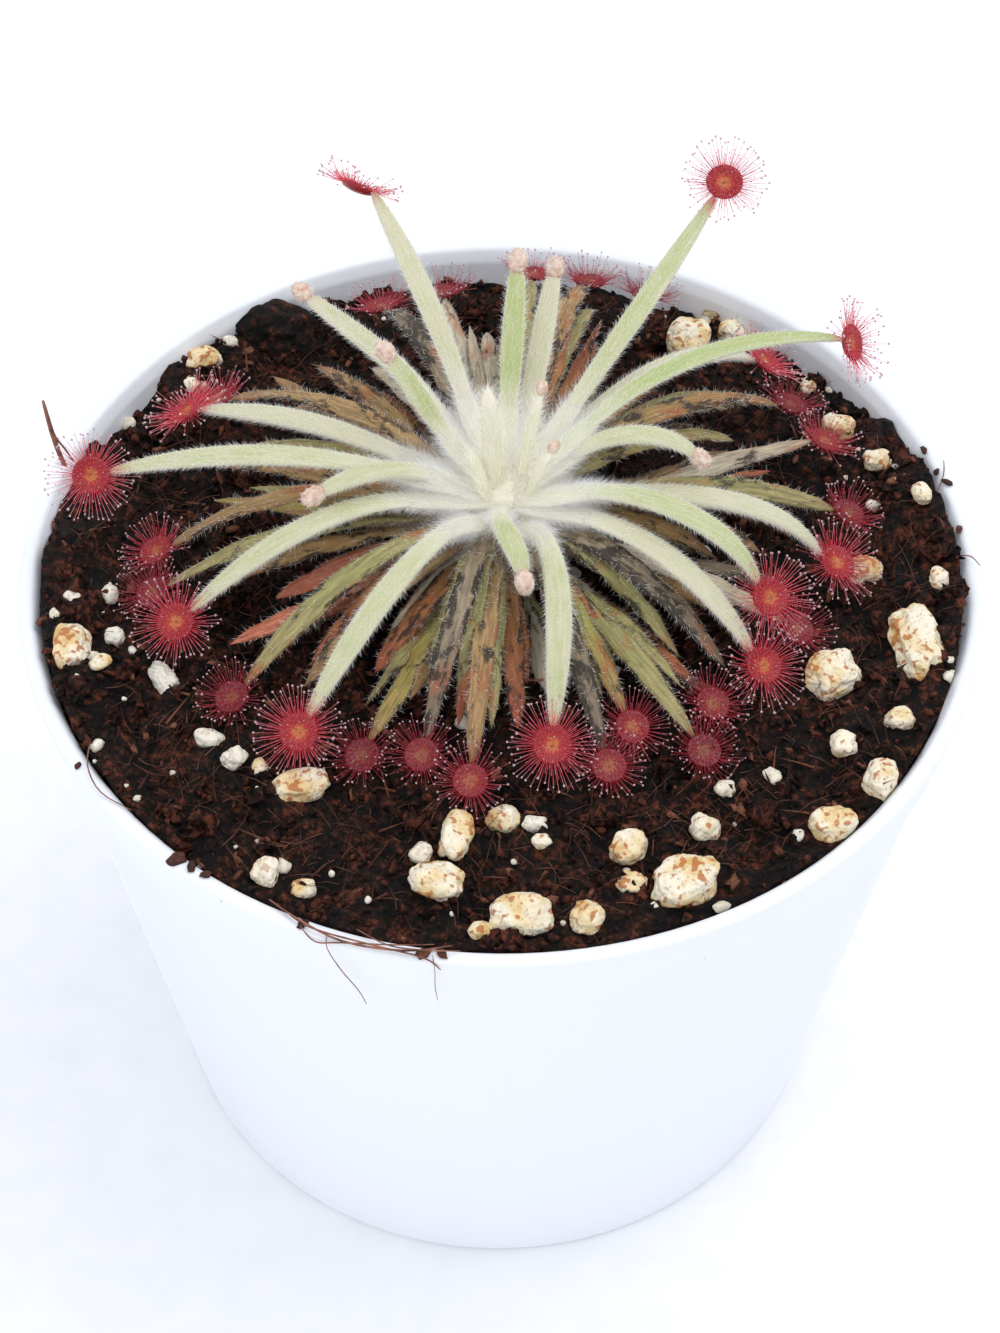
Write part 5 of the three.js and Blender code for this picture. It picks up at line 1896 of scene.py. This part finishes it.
@dataclass
class OldLeaves:
    """The dead and dying leaves: withered blades in four tiers, joined where they sheathe the stem.

    A shred lies some degrees aside of its leaf. Its reach and its launch are shares of the leaf's, and its
    tip lies a little higher.
    """

    crown: Crown
    wool: Tree
    shred_aside: tuple[float, float] = (3.2, 5.5)
    shred_reach: tuple[float, float] = (0.68, 0.9)
    shred_rise: tuple[float, float] = (-0.1, 0.9)
    shred_launch: tuple[float, float] = (0.4, 0.9)
    leaves_per_piece: int = 5
    sheath_thickness: float = 1.0
    sheath_spread: float = 14.0
    sheath_steps: int = 12

    def tint(self, piece: Piece, leaf: Leaf, seed: int) -> None:
        """Marks a withered blade with its own colours, soot and thin wool.

        Args:
            piece: the blade.
            leaf: the leaf's plan.
            seed: makes its blotches its own.
        """
        *colours, soot = leaf.look.value
        base, middle, tip = (Vector(linear(colour)) for colour in colours)
        along, across = read_marks(piece, "along"), read_marks(piece, "across")
        tints = []
        for t in along:
            t = min(1.0, max(0.0, t + 0.12 * noise.noise(Vector((t * 6, seed, 0)))))
            tints.append(base.lerp(middle, t * 2) if t < 0.5 else middle.lerp(tip, t * 2 - 1))
        # soot spares the root, and what is left of the wool stands in patches and along the edges
        patchy = [0.5 + noise.noise(Vector((t * 5, seed * 1.7, 3))) for t in along]
        near_root = [1 - ease(t, 0.0, 0.4) for t in along]
        mark(piece, tint=tints, shag=[0.8 + 1.6 * r for r in near_root])
        mark(piece, soot=[soot * ease(t, 0.1, 0.35) * (0.7 + 0.7 * a**3) for t, a in zip(along, across)])
        covers = [0.45 * p + 1.9 * a**6 + 0.5 * r for p, a, r in zip(patchy, across, near_root)]
        mark(piece, cover=[max(0.1, cover) for cover in covers])

    def shred(self, leaf: Leaf, tier: Tier, seed: int) -> Piece:
        """A shrivelled strap from an even older leaf, beside and under a leaf of a tier.

        Args:
            leaf: the leaf that it lies by.
            tier: that leaf's tier.
            seed: makes it its own.

        Returns:
            The piece.
        """
        draw = random.Random(seed)
        aside = draw.choice((-1, 1)) * draw.uniform(*self.shred_aside)
        reach = leaf.reach * draw.uniform(*self.shred_reach)
        tip = leaf.tip + draw.uniform(*self.shred_rise)
        low = replace(leaf, azimuth=leaf.azimuth + aside, reach=reach, tip=tip)
        looks = (Withering.TAN, Withering.ASHEN, Withering.RUSSET, Withering.OLIVE)
        low = replace(low, look=draw.choice(looks))
        launch = tier.launch * draw.uniform(*self.shred_launch)
        rib = self.crown.midrib(low, replace(tier, launch=launch))
        blade = Blade(SHRED_STALK, sides=10, steps=20, ruffle=0.45, twist=1.8, groove=0.4)
        piece = blade.build("shred", rib, 0.2, 0.1, seed + 300)
        self.tint(piece, low, seed + 300)
        return piece

    def sheath(self, tier: Tier, start: float, end: float, leaf: Leaf) -> Piece:
        """An arc of joined leaf bases round the stem.

        Args:
            tier: the tier that they are in.
            start: the azimuth where it starts, in degrees.
            end: the azimuth where it ends.
            leaf: the leaf whose colours it has.

        Returns:
            The piece.
        """
        steps, half = self.sheath_steps, self.sheath_thickness / 2
        inner, outer = self.crown.skirt_inner, self.crown.skirt_outer
        section = ((inner, -half), (outer, -half), (outer, half), (inner, half))
        azimuths = [lerp(start, end, i / steps) for i in range(steps + 1)]
        corners = [(azimuth, *corner) for azimuth in azimuths for corner in section]
        vertices = [self.crown.from_axis(a, radius, tier.attach + up) for a, radius, up in corners]
        piece = make_piece("sheath", vertices, ring_faces(steps + 1, 4, False))
        mark(piece, grain=[(v - self.crown.from_axis(0, 0, v.z)).normalized() for v in vertices])
        mark(piece, run=vertices, along=0.0, across=0.8)
        self.tint(piece, leaf, 1)
        return piece

    def dress(self) -> None:
        """Builds the old leaves in the groups that their solids have."""
        skin = WitheredSkin("withered leaf skin", 0.72).material()
        hairs = PlantWool("weathered leaf wool", 0.8, colour="#faf6ec", shaded="#cdc5b4").material()
        blade = Blade(OLD_STALK, sides=12, steps=24, ruffle=0.3, twist=0.8, groove=0.45)
        number = 0
        for which, tier in enumerate(TIERS):
            ring = sorted(OLD_LEAVES[which :: len(TIERS)], key=lambda leaf: leaf.azimuth)
            for first in range(0, len(ring), self.leaves_per_piece):
                number += 1
                group, parts = ring[first : first + self.leaves_per_piece], []
                for seed, leaf in enumerate(group, number * 9):
                    rib = self.crown.midrib(leaf, tier)
                    parts.append(blade.build("withered", rib, 0.4, 0.2 if leaf.dry else 0.9, seed))
                    self.tint(parts[-1], leaf, seed)
                    parts += [self.shred(leaf, tier, seed), self.shred(leaf, tier, seed + 100)]
                start, end = group[0].azimuth - self.sheath_spread, group[-1].azimuth + self.sheath_spread
                parts.append(self.sheath(tier, start, end, group[0]))
                piece = join(f"withered_leaves_{number}", parts)
                OLD_WOOL.grow(piece, self.wool, (skin, hairs), number)
                settle(piece, "old_leaf", f"old_leaves_{number}")


# -------- traps
@dataclass(frozen=True)
class TrapSize:
    """A trap's disc, the reach of its fringe, and how many tentacles it has on its rim and on its face."""

    radius: float
    thickness: float
    tentacle: float
    fringe: int
    face: int


OPEN_TRAP = TrapSize(1.75, 0.9, 2.5, 58, 110)
OLD_TRAP = TrapSize(1.6, 0.8, 2.1, 42, 64)


@dataclass(frozen=True)
class Seat:
    """Where a trap sits: its middle, its face's normal, the way its stalk points, and its size and age."""

    middle: Vector
    normal: Vector
    along: Vector
    size: TrapSize
    age: float
    number: int

    def flat(self, angle: float) -> Vector:
        """The unit vector at an angle from its stalk in the plane of its face."""
        return self.along * cos(angle) + self.along.cross(self.normal) * sin(angle)


@dataclass
class Traps:
    """The round sticky traps at the ends of the leaves.

    For the tentacles of the fringe and of the face: the degrees that they rise, their reach, their curl and
    the size of their drops, and the share of them that are wet. Those of the face change towards its rim.
    """

    crown: Crown
    bed: Bed
    tentacles: Tree
    gap: float = 0.4
    stalk: float = 0.036
    gland: float = 0.062
    drop: float = 0.135
    off_bed: float = 0.5
    sides: int = 28
    fringe_rise: tuple[float, ...] = (-6, 8, 20, 34)
    fringe_reach: tuple[float, float] = (0.82, 1.12)
    fringe_curl: tuple[float, float] = (0.1, 0.45)
    fringe_drop: tuple[float, float] = (0.7, 1.1)
    fringe_wet: float = 0.94
    face_spread: tuple[float, float] = (0.3, 0.98)
    face_rise: tuple[float, float] = (60, 12)
    face_reach: tuple[float, float] = (0.35, 1.6)
    face_curl: tuple[float, float] = (0.0, 0.15)
    face_drop: tuple[float, float] = (0.4, 0.65)
    face_wet: float = 0.3
    age_rise: float = 24
    age_drying: float = 0.25

    def seats(self) -> list[Seat]:
        """Works out where the traps sit.

        Returns:
            Every trap's seat.
        """
        plans = [(leaf, self.crown.midrib(leaf), leaf.faces, OPEN_TRAP, 0.0) for leaf in OPEN_LEAVES]
        for i, leaf in enumerate(OLD_LEAVES):
            if not leaf.dry:
                age = 0.25 + 0.55 * ((i * 7) % 10) / 10
                rib = self.crown.midrib(leaf, TIERS[i % len(TIERS)])
                plans.append((leaf, rib, leaf.azimuth, OLD_TRAP, age))
        seats = []
        for number, (leaf, rib, faces, size, age) in enumerate(plans):
            arriving, normal = rib.tangent(1), climbing(faces, 90 - leaf.tilt)
            along = (arriving - normal * arriving.dot(normal)).normalized()
            middle = rib.point(1) + arriving * self.gap + along * size.radius
            seats.append(Seat(middle, normal, along, size, age, number))
        return seats

    def disc(self, seat: Seat) -> Piece:
        """The trap's disc: a shallow cup, pebbled with papillae, on a rounded back.

        Args:
            seat: where it sits.

        Returns:
            The piece, marked with its distance from the middle and its age.
        """
        outline = [(0.0, 0.1), *((r, 0.1 + 0.75 * r**2) for r in (0.2, 0.38, 0.55, 0.7, 0.82))]
        outline += [(0.93, 0.75), (1.0, 0.4), (0.98, 0.05), (0.86, -0.4)]
        outline += [(0.6, -0.75), (0.3, -0.95), (0.0, -1.0)]
        vertices, spread = [], []
        for i, (r, h) in enumerate(outline):
            for angle in (tau * k / self.sides for k in range(self.sides if r else 1)):
                along, aside = r * 6 * cos(angle), r * 6 * sin(angle)
                pebble = noise.noise(Vector((along, aside, seat.number * 2)))
                lift = h * seat.size.thickness / 2 + (0.09 * pebble if h > 0.08 else 0.0)
                vertices.append(seat.middle + seat.flat(angle) * (r * seat.size.radius) + seat.normal * lift)
                spread.append(r if i < 7 else 1.0)
        piece = make_piece("disc", vertices, ring_faces(len(outline) - 2, self.sides, True))
        mark(piece, spread=spread, age=seat.age)
        return piece

    def roots(self, seat: Seat) -> Piece:
        """The feet of a trap's tentacles, each marked with its aim, curl, reach and drop.

        Each tentacle is planned by its foot's share of the disc's radius, its angle from the stalk, its rise
        from the face, its length, how far its end bends over and the size of its drop. One that would touch
        the bed is left out.

        Args:
            seat: where the trap sits.

        Returns:
            The feet, as a piece of points.
        """
        draw, size, plans = random.Random(seat.number), seat.size, []
        for i in range(size.fringe):
            angle = tau * (i + draw.uniform(-0.3, 0.3)) / size.fringe
            rise = draw.choice(self.fringe_rise) + self.age_rise * seat.age + draw.uniform(-6, 6)
            reach = size.tentacle * draw.uniform(*self.fringe_reach)
            wet = draw.random() < self.fringe_wet
            dewy = draw.uniform(*self.fringe_drop) * (1 - self.age_drying * seat.age) if wet else 0.0
            curl = draw.uniform(*self.fringe_curl) * (1 + seat.age)
            plans.append((1.0, angle, radians(rise), reach, curl, dewy))
        inner, outer = self.face_spread
        for i in range(size.face):
            share = sqrt(lerp(inner**2, outer**2, (i + 0.5) / size.face))
            angle, rimward = i * pi * (3 - sqrt(5)), ease(share, inner, 1.0)
            rise = lerp(*self.face_rise, rimward) + draw.uniform(-9, 9)
            reach = lerp(*self.face_reach, rimward) * draw.uniform(0.75, 1.25)
            dewy = draw.uniform(*self.face_drop) if draw.random() < self.face_wet * share else 0.0
            plans.append((share, angle, radians(rise), reach, draw.uniform(*self.face_curl), dewy))
        feet, marks = [], {"aim": [], "lift": [], "reach": [], "curl": [], "dewy": []}
        for share, angle, rise, reach, curl, dewy in plans:
            flat = seat.flat(angle)
            aim = flat * cos(rise) + seat.normal * sin(rise)
            lift = (seat.normal - aim * seat.normal.dot(aim)).normalized()
            cup = 0.1 + 0.6 * share**2 if share < 0.9 else 0.35
            foot = seat.middle + flat * (share * size.radius * 0.97)
            foot += seat.normal * (cup * size.thickness / 2)
            tip = foot + aim * reach + lift * curl
            if tip.z >= self.bed.height(tip.x, tip.y) + self.off_bed:
                feet.append(foot)
                for values, value in zip(marks.values(), (aim, lift, reach * MM, curl * MM, dewy)):
                    values.append(value)
        piece = make_piece("feet", feet, [])
        mark(piece, age=seat.age, **marks)
        return piece

    def nearest_node(self, seat: Seat) -> str:
        """The name of the trap solid that a seat belongs to: its points come nearest to the seat's middle."""
        solids = {name: solid for name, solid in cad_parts.items() if name.startswith("traps_")}
        return min(solids, key=lambda name: min((p - seat.middle).length for p in points_of(solids[name])))

    def dress(self) -> None:
        """Builds the traps, those of each solid as one piece."""
        flesh = TrapFlesh("moist trap flesh", 0.32).material()
        sizes = {
            "Stalk": self.stalk * MM,
            "Gland": self.gland * MM,
            "Drop": self.drop * MM,
            "Skin": TentacleSkin("tentacle stalk", 0.35).material(),
            "Head": PlainFinish("tentacle gland", 0.25, "#cc384a", "#e05a6c").material(),
            "Dew": PlainFinish("drop of glue", 0.05, "#ffeef1", "#fbd3da", 3.0, 0.6, ior=1.36).material(),
        }
        groups: dict[str, list[Piece]] = {}
        for seat in self.seats():
            disc = self.disc(seat)
            disc.data.materials.append(flesh)
            parts = groups.setdefault(self.nearest_node(seat), [])
            parts += [disc, grow(self.roots(seat), self.tentacles, sizes)]
        for node, parts in groups.items():
            settle(join(node.replace("traps_", "sticky_traps_"), parts), "trap", node)


# -------- stage
@dataclass(frozen=True)
class Studio:
    """The pale floor, the soft light and the camera. Distances are in metres and angles in degrees.

    Each lamp has its name, its place and its power, and shines at the plant.
    """

    eye: tuple[float, float, float] = (0.0003, -0.1992, 0.2923)
    dip: float = 50.16
    heading: float = 0.10
    roll: float = 0.59
    focal_px: float = 3216.0
    frame_px: float = 1333.0
    sensor: float = 36.0
    floor_size: float = 4.0
    floor_colour: str = "#fbfbfd"
    lamps: tuple[tuple, ...] = (("key", (0.28, 0.12, 0.85), 2.4), ("fill", (-0.5, -0.5, 0.5), 1.0))
    lamp_size: float = 0.6
    lit_height: float = 0.07

    def make_camera(self) -> None:
        """Stands the camera where it looks down on the pot's front."""
        dip, heading, roll = (radians(a) for a in (self.dip, self.heading, self.roll))
        level = cos(dip)
        ahead = Vector((-sin(heading) * level, cos(heading) * level, -sin(dip)))
        right = ahead.cross(UP).normalized()
        up = right.cross(ahead)
        right, up = right * cos(roll) + up * sin(roll), up * cos(roll) - right * sin(roll)
        camera = add_object("camera", bpy.data.cameras.new("camera"))
        camera.data.sensor_width = self.sensor
        camera.data.lens = self.sensor * self.focal_px / self.frame_px
        camera.data.clip_start, camera.data.clip_end = 0.01, 20
        turn = Matrix((right, up, -ahead)).transposed().to_4x4()
        camera.matrix_world = Matrix.Translation(self.eye) @ turn
        bpy.context.scene.camera = camera

    def make_floor(self) -> None:
        """Lays a large plain floor, matt white."""
        half = self.floor_size / 2
        corners = ((-half, -half, 0), (half, -half, 0), (half, half, 0), (-half, half, 0))
        mesh = bpy.data.meshes.new("floor")
        mesh.from_pydata(corners, [], [(0, 1, 2, 3)])
        finish = PlainFinish("matt white paper", 0.8, self.floor_colour, "#f6f7fa", 4.0)
        mesh.materials.append(finish.material())
        add_object("floor", mesh)

    def make_light(self) -> None:
        """Gives bright even light from all round, a large soft lamp above and to the right, and a fill."""
        world = bpy.data.worlds.new("studio")
        world.use_nodes = True
        feed(world.node_tree, world.node_tree.nodes["Background"], {"Color": "#f7faff", "Strength": 0.9})
        bpy.context.scene.world = world
        for name, place, power in self.lamps:
            lamp = add_object(name, bpy.data.lights.new(name, "AREA"))
            lamp.data.size, lamp.data.energy = self.lamp_size, power
            lamp.location = place
            way = UP * self.lit_height - Vector(place)
            lamp.rotation_euler = way.to_track_quat("-Z", "Y").to_euler()

    def make(self) -> None:
        """Sets up the whole stage."""
        self.make_camera()
        self.make_floor()
        self.make_light()
        bpy.context.scene.view_settings.view_transform = "Standard"


# -------- the whole plant
def main() -> None:
    """Builds every piece in order and reports it."""
    logging.basicConfig(level=logging.INFO, format="%(name)s: %(message)s")
    Studio().make()
    wool, litter, tentacles = wool_tree(), litter_tree(), tentacle_tree()
    pot = Pot()
    shell = pot.build()
    pot.dress(shell)
    settle(shell, "white_plastic", "pot")
    bed = Bed(pot)
    bed.dress(litter, wool)
    Spills(pot).dress()
    crown = Crown()
    young = YoungLeaves(crown, wool)
    young.dress_crown()
    young.dress()
    OldLeaves(crown, wool).dress()
    Traps(crown, bed, tentacles).dress()


if __name__ == "__main__":
    main()
